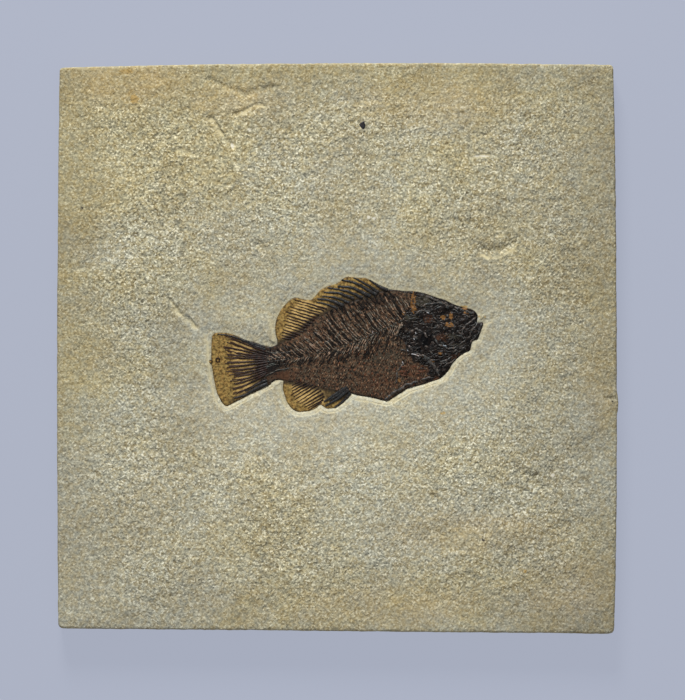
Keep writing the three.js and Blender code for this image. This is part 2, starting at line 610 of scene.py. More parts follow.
@cache
def relief_tree() -> Any:
    """Builds the tree that roughens a surface by noise, as strongly as its rough attribute says.

    Returns:
        The geometry tree.
    """
    labels = ("Grain", "Lump", "Swell", "Crease")
    sizes = tuple(f"{label} {part}" for label in labels for part in ("Size", "Depth"))
    tree, given, result = open_geometry_tree("surface_relief", sizes)
    place = add_node(tree, "GeometryNodeInputPosition").outputs[0]
    height: Any = 0.0
    for label in labels:
        size, depth = given.outputs[f"{label} Size"], given.outputs[f"{label} Depth"]
        bumps = noise_bumps(tree, place, size, depth, creased=label == "Crease")
        height = math_node(tree, "ADD", height, bumps)
    height = math_node(tree, "MULTIPLY", height, named_attribute(tree, Tint.ROUGH))
    normal = add_node(tree, "GeometryNodeInputNormal").outputs[0]
    push = add_node(tree, "ShaderNodeVectorMath", {0: normal, "Scale": height}, operation="SCALE")
    moved = {"Geometry": given.outputs[0], "Offset": push.outputs[0]}
    shaped = add_node(tree, "GeometryNodeSetPosition", moved)
    close_geometry_tree(tree, given, result, shaped.outputs[0])
    return tree


@cache
def sweep_tree() -> Any:
    """Builds the tree that turns drawn lines into tapering, slightly flattened bones.

    Returns:
        The geometry tree.
    """
    sizes = ("Root Radius", "Tip Radius", "Flatness", "Step", "Wobble", "Wobble Size")
    tree, given, result = open_geometry_tree("bone_sweep", sizes)
    line = add_node(tree, "GeometryNodeMeshToCurve", {"Mesh": given.outputs[0]})
    stepped = {"Curve": line.outputs[0], "Length": given.outputs["Step"]}
    path = add_node(tree, "GeometryNodeResampleCurve", stepped, mode="LENGTH")
    place = add_node(tree, "GeometryNodeInputPosition").outputs[0]
    noise = noise_node(tree, place, given.outputs["Wobble Size"])
    middle = {0: noise.outputs["Color"], 1: (0.5, 0.5, 0.5)}
    centred = add_node(tree, "ShaderNodeVectorMath", middle, operation="SUBTRACT")
    shake = {0: centred.outputs[0], "Scale": given.outputs["Wobble"]}
    shift = add_node(tree, "ShaderNodeVectorMath", shake, operation="SCALE")
    bent = {"Geometry": path.outputs[0], "Offset": shift.outputs[0]}
    wavy = add_node(tree, "GeometryNodeSetPosition", bent)
    level = add_node(tree, "ShaderNodeSeparateXYZ", {0: place}).outputs["Z"]
    kept = {"Geometry": wavy.outputs[0], "Name": Tint.LEVEL.value, "Value": level}
    marked = add_node(tree, "GeometryNodeStoreNamedAttribute", kept, data_type="FLOAT", domain="POINT")
    along = named_attribute(tree, Tint.ALONG)
    taper = {0: along, 2: given.outputs["Root Radius"], 3: given.outputs["Tip Radius"]}
    radius = add_node(tree, "ShaderNodeMix", taper, data_type="FLOAT").outputs[0]
    radius = math_node(tree, "MULTIPLY", radius, named_attribute(tree, Tint.GIRTH))
    ring = add_node(tree, "GeometryNodeCurvePrimitiveCircle", {"Resolution": 7, "Radius": 1.0})
    tube = {"Curve": marked.outputs[0], "Profile Curve": ring.outputs[0], "Scale": radius, "Fill Caps": True}
    bone = add_node(tree, "GeometryNodeCurveToMesh", tube)
    axes = add_node(tree, "ShaderNodeSeparateXYZ", {0: place})
    stored = named_attribute(tree, Tint.LEVEL)
    above = math_node(tree, "SUBTRACT", axes.outputs["Z"], stored)
    lowered = math_node(tree, "MULTIPLY_ADD", above, given.outputs["Flatness"], stored)
    flat = add_node(tree, "ShaderNodeCombineXYZ", {0: axes.outputs["X"], 1: axes.outputs["Y"], 2: lowered})
    pressed = {"Geometry": bone.outputs[0], "Position": flat.outputs[0]}
    shaped = add_node(tree, "GeometryNodeSetPosition", pressed)
    close_geometry_tree(tree, given, result, shaped.outputs[0])
    return tree


@cache
def scale_tree() -> Any:
    """Builds the tree that lays a small lens-shaped scale on each point.

    Returns:
        The geometry tree.
    """
    sizes = ("Length", "Width", "Thickness", "Lift", "Tumble")
    tree, given, result = open_geometry_tree("scale_cover", sizes)
    points = add_node(tree, "GeometryNodeMeshToPoints", {"Mesh": given.outputs[0]})
    lens = add_node(tree, "GeometryNodeMeshIcoSphere", {"Radius": 0.5, "Subdivisions": 1})
    shape = {0: given.outputs["Length"], 1: given.outputs["Width"], 2: given.outputs["Thickness"]}
    flat = add_node(tree, "ShaderNodeCombineXYZ", shape)
    scale = add_node(tree, "GeometryNodeTransform", {"Geometry": lens.outputs[0], "Scale": flat.outputs[0]})
    tumble = given.outputs["Tumble"]
    spread = {2: math_node(tree, "MULTIPLY", tumble, -1.0), 3: tumble}
    tilts = []
    for seed in (3, 4):
        random = add_node(tree, "FunctionNodeRandomValue", {**spread, 8: seed}, data_type="FLOAT")
        tilts.append(random.outputs[1])
    lifted = math_node(tree, "ADD", tilts[1], given.outputs["Lift"])
    turned = {0: tilts[0], 1: lifted, 2: named_attribute(tree, Tint.TURN)}
    angles = add_node(tree, "ShaderNodeCombineXYZ", turned)
    rotation = add_node(tree, "FunctionNodeEulerToRotation", {0: angles.outputs[0]})
    size = named_attribute(tree, Tint.SIZE)
    grown = add_node(tree, "ShaderNodeCombineXYZ", {0: size, 1: size, 2: size})
    laid = {
        "Points": points.outputs[0],
        "Instance": scale.outputs[0],
        "Rotation": rotation.outputs[0],
        "Scale": grown.outputs[0],
    }
    cover = add_node(tree, "GeometryNodeInstanceOnPoints", laid)
    close_geometry_tree(tree, given, result, cover.outputs[0])
    return tree


@cache
def vertebra_tree() -> Any:
    """Builds the tree that strings waisted vertebrae along a line.

    Returns:
        The geometry tree.
    """
    sizes = ("Pitch", "Length", "Radius", "Waist")
    tree, given, result = open_geometry_tree("vertebra_string", sizes)
    line = add_node(tree, "GeometryNodeMeshToCurve", {"Mesh": given.outputs[0]})
    stepped = {"Curve": line.outputs[0], "Length": given.outputs["Pitch"]}
    path = add_node(tree, "GeometryNodeResampleCurve", stepped, mode="LENGTH")
    drum = {"Radius": given.outputs["Radius"], "Depth": given.outputs["Length"]}
    barrel = add_node(tree, "GeometryNodeMeshCylinder", {"Vertices": 8, "Side Segments": 4, **drum})
    place = add_node(tree, "GeometryNodeInputPosition").outputs[0]
    axes = add_node(tree, "ShaderNodeSeparateXYZ", {0: place})
    share = math_node(tree, "DIVIDE", axes.outputs["Z"], given.outputs["Length"])
    outward = math_node(tree, "MULTIPLY", math_node(tree, "ABSOLUTE", share), 2.0)
    narrowed = {0: outward, 2: given.outputs["Waist"], 3: 1.0}
    pinch = add_node(tree, "ShaderNodeMix", narrowed, data_type="FLOAT").outputs[0]
    factor = add_node(tree, "ShaderNodeCombineXYZ", {0: pinch, 1: pinch, 2: 1.0})
    waisted = add_node(tree, "ShaderNodeVectorMath", {0: place, 1: factor.outputs[0]}, operation="MULTIPLY")
    shaped = {"Geometry": barrel.outputs[0], "Position": waisted.outputs[0]}
    bone = add_node(tree, "GeometryNodeSetPosition", shaped)
    tangent = add_node(tree, "GeometryNodeInputTangent").outputs[0]
    turn = add_node(tree, "FunctionNodeAlignRotationToVector", {"Vector": tangent}, axis="Z")
    girth = named_attribute(tree, Tint.GIRTH)
    size = add_node(tree, "ShaderNodeCombineXYZ", {0: girth, 1: girth, 2: 1.0})
    laid = {
        "Points": path.outputs[0],
        "Instance": bone.outputs[0],
        "Rotation": turn.outputs[0],
        "Scale": size.outputs[0],
    }
    string = add_node(tree, "GeometryNodeInstanceOnPoints", laid)
    close_geometry_tree(tree, given, result, string.outputs[0])
    return tree


@cache
def mottle_group() -> Any:
    """Builds the shader group that mixes two colours in soft blotches.

    Returns:
        The node group.
    """
    inputs = {"Shift": "NodeSocketVector"}
    inputs |= dict.fromkeys(("Size", "Detail", "Low", "High"), "NodeSocketFloat")
    inputs |= dict.fromkeys(("First", "Second"), "NodeSocketColor")
    outputs = {"Colour": "NodeSocketColor", "Mask": "NodeSocketFloat"}
    tree, given, result = open_tree("mineral_mottle", "ShaderNodeTree", inputs, outputs)
    place = add_node(tree, "ShaderNodeTexCoord").outputs["Object"]
    moved = add_node(tree, "ShaderNodeVectorMath", {0: place, 1: given.outputs["Shift"]}).outputs[0]
    detail = given.outputs["Detail"]
    noise = noise_node(tree, moved, given.outputs["Size"], Detail=detail, Roughness=0.6)
    span = {"Value": noise.outputs[0], "From Min": given.outputs["Low"], "From Max": given.outputs["High"]}
    mask = add_node(tree, "ShaderNodeMapRange", span).outputs[0]
    colour = mix_colour(tree, mask, given.outputs["First"], given.outputs["Second"])
    tree.links.new(colour, result.inputs["Colour"])
    tree.links.new(mask, result.inputs["Mask"])
    return tree


@cache
def pitting_group() -> Any:
    """Builds the shader group that gives a fine pitted height at two sizes.

    Returns:
        The node group.
    """
    inputs = dict.fromkeys(("Coarse", "Fine", "Fine Share"), "NodeSocketFloat")
    tree, given, result = open_tree("fine_pitting", "ShaderNodeTree", inputs, {"Height": "NodeSocketFloat"})
    place = add_node(tree, "ShaderNodeTexCoord").outputs["Object"]
    longer = {0: place, 1: (1.0, 0.72, 1.0)}
    place = add_node(tree, "ShaderNodeVectorMath", longer, operation="MULTIPLY").outputs[0]
    coarse, fine = (noise_node(tree, place, given.outputs[label]) for label in ("Coarse", "Fine"))
    away = math_node(tree, "ABSOLUTE", math_node(tree, "SUBTRACT", coarse.outputs[0], 0.5))
    ridge = math_node(tree, "MULTIPLY_ADD", away, -2.0, 1.0)
    shares = {0: given.outputs["Fine Share"], 2: ridge, 3: fine.outputs[0]}
    total = add_node(tree, "ShaderNodeMix", shares, data_type="FLOAT").outputs[0]
    tree.links.new(total, result.inputs["Height"])
    return tree


@cache
def ragged_group() -> Any:
    """Builds the shader group that frays the edge of a painted mask.

    Returns:
        The node group.
    """
    inputs = dict.fromkeys(("Mask", "Size", "Fray"), "NodeSocketFloat")
    tree, given, result = open_tree("ragged_edge", "ShaderNodeTree", inputs, {"Mask": "NodeSocketFloat"})
    place = add_node(tree, "ShaderNodeTexCoord").outputs["Object"]
    noise = noise_node(tree, place, given.outputs["Size"], Detail=3.0)
    centred = math_node(tree, "SUBTRACT", noise.outputs[0], 0.5)
    frayed = math_node(tree, "MULTIPLY_ADD", centred, given.outputs["Fray"], given.outputs["Mask"])
    span = {"Value": frayed, "From Min": 0.35, "From Max": 0.65}
    cut = add_node(tree, "ShaderNodeMapRange", span).outputs[0]
    tree.links.new(cut, result.inputs["Mask"])
    return tree


def use_group(tree: Any, group: Any, inputs: dict[str, Any]) -> Any:
    """Places a shared shader group in a material and gives its node."""
    return add_node(tree, "ShaderNodeGroup", inputs, node_tree=group)


def new_material(name: str) -> tuple[Material, Any, Any]:
    """Starts a material.

    Args:
        name: its name.

    Returns:
        The material, its node tree and its Principled shader.
    """
    material = bpy.data.materials.new(name)
    material.use_nodes = True
    tree = material.node_tree
    return material, tree, tree.nodes["Principled BSDF"]


@dataclass(frozen=True, kw_only=True)
class Finish:
    """What every finish has: roughness, shine, and the sizes and height of its pits."""

    roughness: float = 0.42
    shine: float = 0.5
    bump_height: float = 0.12
    pit_sizes: Pair = (0.9, 0.4)
    fine_share: float = 0.4

    def pits(self, tree: Any) -> Any:
        """Adds the pits to a material.

        Args:
            tree: the material's tree.

        Returns:
            Socket with their height.
        """
        coarse, fine = (size * MM for size in self.pit_sizes)
        inputs = {"Coarse": coarse, "Fine": fine, "Fine Share": self.fine_share}
        return use_group(tree, pitting_group(), inputs).outputs[0]

    def close(self, tree: Any, shader: Any, base: Any, height: Any) -> None:
        """Feeds a material's Principled shader.

        Args:
            tree: the material's tree.
            shader: the shader.
            base: socket with the colour.
            height: socket with the height of the pits.
        """
        tree.links.new(base, shader.inputs["Base Color"])
        shader.inputs["Roughness"].default_value = self.roughness
        shader.inputs["Specular IOR Level"].default_value = self.shine
        bump = {"Height": height, "Distance": self.bump_height * MM, "Strength": 1.0}
        tree.links.new(add_node(tree, "ShaderNodeBump", bump).outputs[0], shader.inputs["Normal"])


@dataclass(frozen=True)
class LimestoneFinish(Finish):
    """Matt granular buff limestone: yellower at the edges, greyer by the fish, cream where scraped and where
    painted as highlight, with painted light and shade over the face.
    """

    warm: Colour = seen(196, 182, 140)
    cool: Colour = seen(186, 182, 160)
    pale_grain: Colour = seen(220, 211, 171)
    pale_fleck_and_highlight: Colour = seen(242, 234, 200)
    ochre_grain: Colour = seen(188, 164, 108)
    grey_grain: Colour = seen(172, 172, 152)
    dark_grain: Colour = seen(105, 97, 72)
    cream: Colour = seen(224, 211, 166)
    dark: Colour = seen(60, 52, 46)
    pale: Colour = seen(226, 220, 200)
    rust: Colour = seen(176, 148, 92)
    wash: Colour = seen(192, 158, 96)
    cool_tint: Colour = (0.96, 1.01, 1.14, 1.0)
    warm_tint: Colour = (1.01, 1.01, 0.975, 1.0)
    grain_size: float = 1.2
    hue_size: float = 2.6
    hue_share: float = 0.3
    bright_size: float = 1.15
    cloud_size: float = 26.0
    cream_cover: float = 0.78
    fray_size: float = 1.5
    roughness: float = 0.9
    shine: float = 0.25
    bump_height: float = 1.12
    pit_sizes: Pair = (2.0, 0.86)

    def build(self) -> Material:
        """Builds the material.

        Returns:
            The material.
        """
        material, tree, shader = new_material("limestone")
        base = mix_colour(tree, attribute(tree, Tint.WARM), self.cool, self.warm)
        grain = use_group(tree, mottle_group(), {
            "Size": self.grain_size * MM, "Detail": 1.5, "Low": 0.32, "High": 0.68,
            "First": self.dark_grain, "Second": self.pale_grain,
        })
        share = math_node(tree, "MULTIPLY_ADD", attribute(tree, Tint.ROUGH), 0.6, 0.2)
        base = mix_colour(tree, share, base, grain.outputs["Colour"])
        hue = use_group(tree, mottle_group(), {
            "Shift": (0.11, 0.43, 0.07), "Size": self.hue_size * MM, "Detail": 1.0,
            "Low": 0.38, "High": 0.62, "First": self.ochre_grain, "Second": self.grey_grain,
        })
        base = mix_colour(tree, self.hue_share, base, hue.outputs["Colour"])
        # Bright flecks: pale grains of the stone, partly painted highlights on the grain tops.
        bright = use_group(tree, mottle_group(), {
            "Shift": (0.31, 0.17, 0.05), "Size": self.bright_size * MM, "Detail": 1.0,
            "Low": 0.56, "High": 0.68,
        })
        sparkle = math_node(tree, "MULTIPLY", bright.outputs["Mask"], share)
        base = mix_colour(tree, sparkle, base, self.pale_fleck_and_highlight)
        cloud = use_group(tree, mottle_group(), {
            "Size": self.cloud_size * MM, "Detail": 3.0, "Low": 0.3, "High": 0.7,
            "First": seen(235, 230, 222), "Second": seen(255, 255, 255),
        })
        base = mix_colour(tree, 1.0, base, cloud.outputs["Colour"], "MULTIPLY")
        cast = mix_colour(tree, attribute(tree, Tint.WARM), self.cool_tint, self.warm_tint)
        base = mix_colour(tree, 1.0, base, cast, "MULTIPLY")
        # Painted light and shade: the colour is multiplied by the painted brightness factor.
        base = mix_colour(tree, 1.0, base, attribute(tree, Tint.LIGHT), "MULTIPLY")
        stain = math_node(tree, "MULTIPLY", attribute(tree, Tint.RED), cloud.outputs["Mask"])
        base = mix_colour(tree, stain, base, self.wash)
        # Cream for freshly scraped stone; the same mask paints highlight along the trough's lip and on lit
        # mark rims, and pale light on the slope above the fish.
        fresh = math_node(tree, "MULTIPLY", attribute(tree, Tint.SCRAPED_AND_LIT), self.cream_cover)
        base = mix_colour(tree, fresh, base, self.cream)
        for tint, colour in ((Tint.RUST, self.rust), (Tint.PALE, self.pale), (Tint.DARK, self.dark)):
            mask = use_group(tree, ragged_group(), {
                "Mask": attribute(tree, tint), "Size": self.fray_size * MM, "Fray": 0.9,
            })
            base = mix_colour(tree, mask.outputs[0], base, colour)
        smooth = math_node(tree, "SUBTRACT", 1.0, attribute(tree, Tint.SCRAPED_AND_LIT))
        height = math_node(tree, "MULTIPLY", self.pits(tree), smooth)
        self.close(tree, shader, base, math_node(tree, "MULTIPLY", height, share))
        return material


@dataclass(frozen=True)
class BoneFinish(Finish):
    """Mineralised bone: dark, satin, blotched with a second colour, with rust where painted."""

    kind: Bone
    first: Colour
    second: Colour
    blotch: float = 1.2
    hue_size: float = 1.5
    fray_size: float = 0.9
    rust: Colour = seen(146, 104, 56)
    red: Colour = seen(92, 60, 40)
    black: Colour = seen(13, 12, 13)
    grey: Colour = seen(70, 66, 54)
    # Near-black for the gill cover's hollow: black bone, partly painted shade in the recess.
    hollow: Colour = seen(5, 5, 6)
    cool_tint: Colour = (0.86, 1.0, 1.08, 1.0)
    warm_tint: Colour = (1.19, 0.98, 0.87, 1.0)
    fade: Colour | None = None
    fade_cover: float = 0.75
    glow: Colour | None = None
    glow_cover: float = 0.8
    painted: bool = False
    varied: bool = False
    tone_power: float = 1.7

    def build(self) -> Material:
        """Builds the material.

        Returns:
            The material.
        """
        material, tree, shader = new_material(self.kind.value)
        blotches = use_group(tree, mottle_group(), {
            "Size": self.blotch * MM, "Detail": 3.0, "Low": 0.36, "High": 0.64,
            "First": self.first, "Second": self.second,
        })
        hue = use_group(tree, mottle_group(), {
            "Shift": (0.23, 0.07, 0.13), "Size": self.hue_size * MM, "Detail": 1.0,
            "Low": 0.38, "High": 0.62, "First": self.cool_tint, "Second": self.warm_tint,
        })
        base = mix_colour(tree, 1.0, blotches.outputs["Colour"], hue.outputs["Colour"], "MULTIPLY")
        if self.varied:
            tone = math_node(tree, "POWER", attribute(tree, Tint.SIZE), self.tone_power)
            base = mix_colour(tree, 1.0, base, tone, "MULTIPLY")
        if self.fade:
            along = math_node(tree, "POWER", attribute(tree, Tint.ALONG), 2.0)
            base = mix_colour(tree, math_node(tree, "MULTIPLY", along, self.fade_cover), base, self.fade)
        if self.glow:
            light = math_node(tree, "MULTIPLY", attribute(tree, Tint.WARM), self.glow_cover)
            base = mix_colour(tree, light, base, self.glow)
        if self.painted:
            # Black where painted: the head, the tail's root, fin roots and ends, and on the body a painted
            # shade along its outline.
            base = mix_colour(tree, attribute(tree, Tint.HEAD), base, self.black)
            for tint, colour, cover in (
                (Tint.PALE, self.grey, 0.7),
                (Tint.RED, self.red, 0.6),
                (Tint.DARK, self.hollow, 0.95),
                (Tint.RUST, self.rust, 0.75),
            ):
                mask = use_group(tree, ragged_group(), {
                    "Mask": attribute(tree, tint), "Size": self.fray_size * MM, "Fray": 1.9,
                })
                base = mix_colour(tree, math_node(tree, "MULTIPLY", mask.outputs[0], cover), base, colour)
        self.close(tree, shader, base, self.pits(tree))
        return material


BONES = (
    BoneFinish(Bone.TRUNK, seen(14, 11, 9), seen(107, 86, 66), blotch=1.1, shine=0.14, painted=True),
    BoneFinish(
        Bone.FIN_SKIN, seen(88, 66, 30), seen(176, 145, 84), blotch=1.2, black=seen(36, 30, 26), shine=0.2,
        cool_tint=(0.95, 1.0, 0.98, 1.0), warm_tint=(1.05, 0.99, 0.9, 1.0),
        glow=seen(224, 188, 120), roughness=0.6, bump_height=0.1, painted=True,
    ),
    BoneFinish(Bone.RAY, seen(18, 14, 12), seen(52, 33, 25), blotch=1.4, fade=seen(62, 38, 23), shine=0.18),
    BoneFinish(Bone.SPINE, seen(12, 10, 9), seen(46, 39, 33), shine=0.18),
    BoneFinish(Bone.FIN_SPINE, seen(8, 8, 8), seen(50, 50, 49), blotch=0.7, shine=0.3),
    BoneFinish(Bone.RIB, seen(56, 48, 40), seen(147, 129, 109), blotch=1.2, shine=0.25),
    BoneFinish(Bone.BACKBONE, seen(26, 26, 24), seen(84, 82, 72), blotch=0.9, shine=0.35),
    BoneFinish(Bone.SCALE, seen(16, 13, 10), seen(119, 97, 75), blotch=1.5, shine=0.25, varied=True),
    BoneFinish(Bone.RUSTY, seen(64, 40, 29), seen(124, 80, 56), blotch=1.4, shine=0.2),
    BoneFinish(Bone.SKULL, seen(8, 8, 9), seen(94, 90, 84), blotch=1.3, shine=0.35),
    # Whitish grey chips: painted highlight standing in for glints on the glossy head bone.
    BoneFinish(Bone.CHIP, seen(110, 110, 112), seen(200, 199, 197), blotch=0.8, roughness=0.3),
    BoneFinish(Bone.BLACK, seen(20, 19, 21), seen(44, 42, 44), roughness=0.35),
)


@cache
def bone_material(kind: Bone) -> Material:
    """The material of a kind of bone, built once."""
    return next(finish for finish in BONES if finish.kind is kind).build()


@dataclass(frozen=True)
class Relief:
    """Size and depth in millimetres of a surface's grains, lumps, swells and creases."""

    grain: Pair
    lump: Pair
    swell: Pair
    crease: Pair = (3.0, 0.0)

    def apply(self, piece: Piece, finish: Material) -> None:
        """Roughens a piece and gives it its material.

        Args:
            piece: the piece.
            finish: its material.
        """
        values: dict[str, Any] = {"Material": finish}
        for label in ("grain", "lump", "swell", "crease"):
            size, depth = getattr(self, label)
            values[f"{label.title()} Size"] = size * MM
            values[f"{label.title()} Depth"] = depth * MM
        run_tree(piece, relief_tree(), values)


def settle(piece: Piece, slot: Slot, *nodes: str) -> None:
    """Fixes a finished piece to the part.

    Args:
        piece: the piece.
        slot: the record's material slot; not used.
        nodes: CAD nodes that it stands for.
    """
    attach(piece, "root")
    if nodes:
        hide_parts(*nodes)
    LOG.info("%s: %d faces", piece.name, len(piece.data.polygons))


@dataclass
class FishPlan:
    """Where the fish lies: its outline from the frame and the tilted bed that it rests on."""

    outline: Array
    face: float
    floor: float
    bed_low: float = 12.85
    bed_high: float = 13.6
    low_y: float = -28.0
    high_y: float = 32.0

    def bed(self, points: Array) -> Array:
        """Height of the bedding plane under the fish at each point."""
        share = ease((points[:, 1] - self.low_y) / (self.high_y - self.low_y))
        return self.bed_low + (self.bed_high - self.bed_low) * share

    def lay(self, line: Array, rise: float) -> Array:
        """Points of a flat line, a little above the bedding plane."""
        return np.column_stack([line, self.bed(line) + rise])


def split_loop(loop: Array, root: Array) -> tuple[Array, Array]:
    """Cuts a fin off an outline along its root.

    Args:
        loop: the outline, counter-clockwise.
        root: the fin's root line, from where the outline enters the fin to where it leaves it.

    Returns:
        The outline without the fin, and the fin's own free edge.
    """
    start = int(np.argmin(np.linalg.norm(loop - root[0], axis=1)))
    turned = np.roll(loop, -start, axis=0)
    end = int(np.argmin(np.linalg.norm(turned - root[-1], axis=1)))
    rest = np.vstack([root, turned[end + 1 :]])
    return rest, turned[: end + 1]


@dataclass
class Slab:
    """The sawn stone: scraped trough, granular face, sawn sides and split back."""

    outline: Array
    thickness: float
    face_spacing: float = 1.15
    fine_spacing: float = 0.5
    fine_inside: float = 1.2
    fine_outside: float = 3.2
    mark_spacing: float = 0.6
    back_spacing: float = 5.0
    rim_spacing: float = 1.2
    rim_run: float = 0.8
    wall_margin: float = 0.25
    steep_run: float = 1.9
    gentle_run: float = 8.0
    floor_drop: float = 0.2
    under_fish: float = 0.5
    halo_run: float = 2.4
    broad_mark: float = 8.0
    smooth_run: float = 44.0
    edge_run: float = 38.0
    shade_run: float = 60.0
    # Tool marks; where a narrow raised rim is given pale paint, it is a painted highlight of its lit side.
    marks: tuple[ToolMark, ...] = (
        ToolMark(((72.7, 49.6), (78, 48.4), (84, 50.4), (87.2, 53.6)), 4.6, 1.3),
        ToolMark(((71.6, 46.6), (76.4, 44.9), (82.6, 46.2), (87.6, 49.4)), 1.7, -0.35, 1.2),
        ToolMark(((66.4, 95.2), (71, 96.2), (76.7, 96.6)), 1.5, -0.3, 1.2),
        ToolMark(((-63.3, 134), (-57.3, 131.4), (-46.8, 127.2), (-39.8, 128.8), (-30.8, 130.6)), 3.4, 0.8),
        ToolMark(((-51, 117), (-46.6, 118.4), (-42, 121.4), (-36.6, 121.6)), 1.8, 0.5, 1.1),
        ToolMark(((-63.6, 114.6), (-59.4, 109.6), (-55.6, 104.2), (-52, 100.2)), 2.0, 0.6, 1.1),
        ToolMark(((-79.3, 99.7), (-70.6, 97)), 2.4, 0.3, 0.8),
        ToolMark(((-83.8, 23.9), (-78, 16.4), (-70.6, 10.4)), 2.2, 0.6, 0.8),
        ToolMark(((-42.6, 52.6), (-40.4, 51.2), (-38.6, 52.4)), 2.8, 0.7),
        ToolMark(((-43, 55.4), (-40.6, 56.4), (-38.4, 55.4)), 1.4, -0.3, 1.0),
        ToolMark(((90.7, -60.9), (96, -65), (102.2, -69.4)), 5.0, 0.6),
        ToolMark(((44, -98), (76, -84), (104, -66), (132, -50)), 13.0, 0.6),
        ToolMark(((52, -124), (84, -108), (116, -90)), 12.0, 0.5),
        ToolMark(((-126, 44), (-92, 62), (-58, 74)), 13.0, 0.5),
        ToolMark(((133.7, -24.9), (139.2, -24.9)), 1.4, 0.5),
    )
    spots: tuple[Patches, ...] = (
        Patches(Tint.RED, (
            (-106, 134, 30, 12, 0.4), (-52, 124, 22, 8, 0.3), (118, -122, 26, 18, 0.25),
            (132, -14, 8, 24, 0.22), (70, -92, 44, 9, 0.25), (26, -128, 44, 10, 0.2),
            (48, 122, 40, 12, 0.22),
        )),
        Patches(Tint.WARM, ((-100, 112, 46, 36, 0.5), (118, 60, 30, 50, 0.3))),
        Patches(Tint.RUST, (
            (-105.4, 138.8, 4.4, 2.2, 0.62), (-101.6, 124.8, 2.6, 2.8, 0.66),
            (93.7, -111.9, 1.2, 1, 0.8), (52.7, -32.4, 1.6, 1.2, 0.6), (72.4, 15.9, 2.4, 0.8, 0.6),
            (63.2, 20.8, 2.2, 0.8, 0.7),
        )),
        Patches(Tint.DARK, (
            (-127.8, 70.2, 1, 1, 0.8), (-112.8, -7.2, 0.8, 0.8, 0.6), (-110.3, -45.4, 1.4, 1, 0.5),
            (72.7, -96.1, 0.9, 0.9, 0.9), (100.2, -106.4, 0.7, 0.7, 0.7),
            (137.7, -26.6, 0.7, 0.6, 0.8),
        )),
        Patches(Tint.PALE, (
            (11.2, 63.7, 0.9, 0.8, 1.0), (15.6, 65.4, 1, 0.8, 0.9), (18.4, 64.9, 0.9, 0.8, 1.0),
            (-44.1, 109.2, 1.2, 1, 0.6), (-52.6, 101.4, 1, 2, 0.6), (107.7, -63.4, 1, 1, 0.9),
            (1.7, -58.9, 1, 0.8, 0.8), (71.6, 96, 5.2, 0.7, 0.65),
        )),
    )

    def face_points(self, plan: FishPlan, rim: Array) -> Array:
        """Scatters points over the face, close together by the fish and the tool marks.

        Args:
            plan: where the fish lies.
            rim: edge of the face.

        Returns:
            The points.
        """
        coarse = scatter_grid(rim, self.face_spacing, 0.6 * self.face_spacing, seed=11)
        ring = offset_loop(evenly(closed(plan.outline), 1.0)[:-1], 1.25 * self.fine_outside)
        near = scatter_grid(ring, self.fine_spacing, 0.0, seed=12)
        gap = self.signed_gap(near, plan)
        fine = [near[(gap > -self.fine_inside) & (gap < self.fine_outside)]]
        wide = self.signed_gap(coarse, plan)
        hidden = (wide <= -self.fine_inside) & (np.arange(len(coarse)) % 4 == 0)
        keep = (wide >= self.fine_outside) | hidden
        for mark in self.marks:
            if mark.width > self.broad_mark:
                continue
            line = curve_through(mark.path, 0.5)
            reach = mark.width * 0.9
            box = np.array([line.min(0) - reach, line.max(0) + reach])
            corners = np.array([box[0], [box[1, 0], box[0, 1]], box[1], [box[0, 0], box[1, 1]]])
            patch = scatter_grid(corners, self.mark_spacing, 0.0, seed=13)
            patch = patch[(nearest_on(patch, line)[0] < reach) & is_inside(patch, rim)]
            patch = patch[nearest_on(patch, closed(rim))[0] > 0.4]
            keep &= nearest_on(coarse, line)[0] >= reach
            fine.append(patch)
        return np.vstack([coarse[keep], *fine])

    @staticmethod
    def signed_gap(points: Array, plan: FishPlan) -> Array:
        """Distance from the fish's outline, negative under the fish."""
        gap = nearest_on(points, closed(plan.outline))[0]
        return np.where(is_inside(points, plan.outline), -gap, gap)

    def face_height(self, points: Array, plan: FishPlan) -> tuple[Array, Array, Array]:
        """Shapes the face: the trough round the fish and the tool marks.

        Args:
            points: places on the face.
            plan: where the fish lies.

        Returns:
            Height, how freshly scraped with painted highlight and painted light added, and distance from the
            fish, for each place.
        """
        away, place = nearest_on(points, closed(plan.outline))
        gap = np.where(is_inside(points, plan.outline), -away, away)
        upward = (points[:, 1] - place[:, 1]) / np.maximum(away, 1e-6)
        steep = ease((0.62 - upward) / 0.7)
        run = self.gentle_run + (self.steep_run - self.gentle_run) * steep
        run = run * (1.0 + 0.22 * lattice_noise(points, 9.0, seed=21))
        climb = (gap - self.wall_margin) / run
        ledge = np.interp(climb, (0.0, 0.42, 0.66, 1.0), (0.0, 0.62, 0.66, 1.0))
        rise = steep * ledge + (1.0 - steep) * ease(climb)
        floor = plan.bed(points) - self.floor_drop
        floor = floor - self.under_fish * ease(-gap) * (gap < 0)
        height = floor + (plan.face - floor) * rise
        band = ease((climb + 0.15) / 0.15) * ease((1.15 - climb) / 0.2)
        side = ease(1.0 - np.abs(upward) / 0.75)
        # Painted highlight: a pale line along the top of the trough wall, widest beside the fish and
        # strongest on the lit wall below it, partly the cream of the scraped lip.
        lip_cream_and_highlight = np.exp(-(((climb - 0.98 + 0.15 * side) / (0.13 + 0.3 * side)) ** 2))
        lip_cream_and_highlight = lip_cream_and_highlight + 0.25 * np.exp(-(((climb - 0.25) / 0.16) ** 2))
        patchy = 0.75 + 0.5 * lattice_noise(points, 6.0, seed=23)
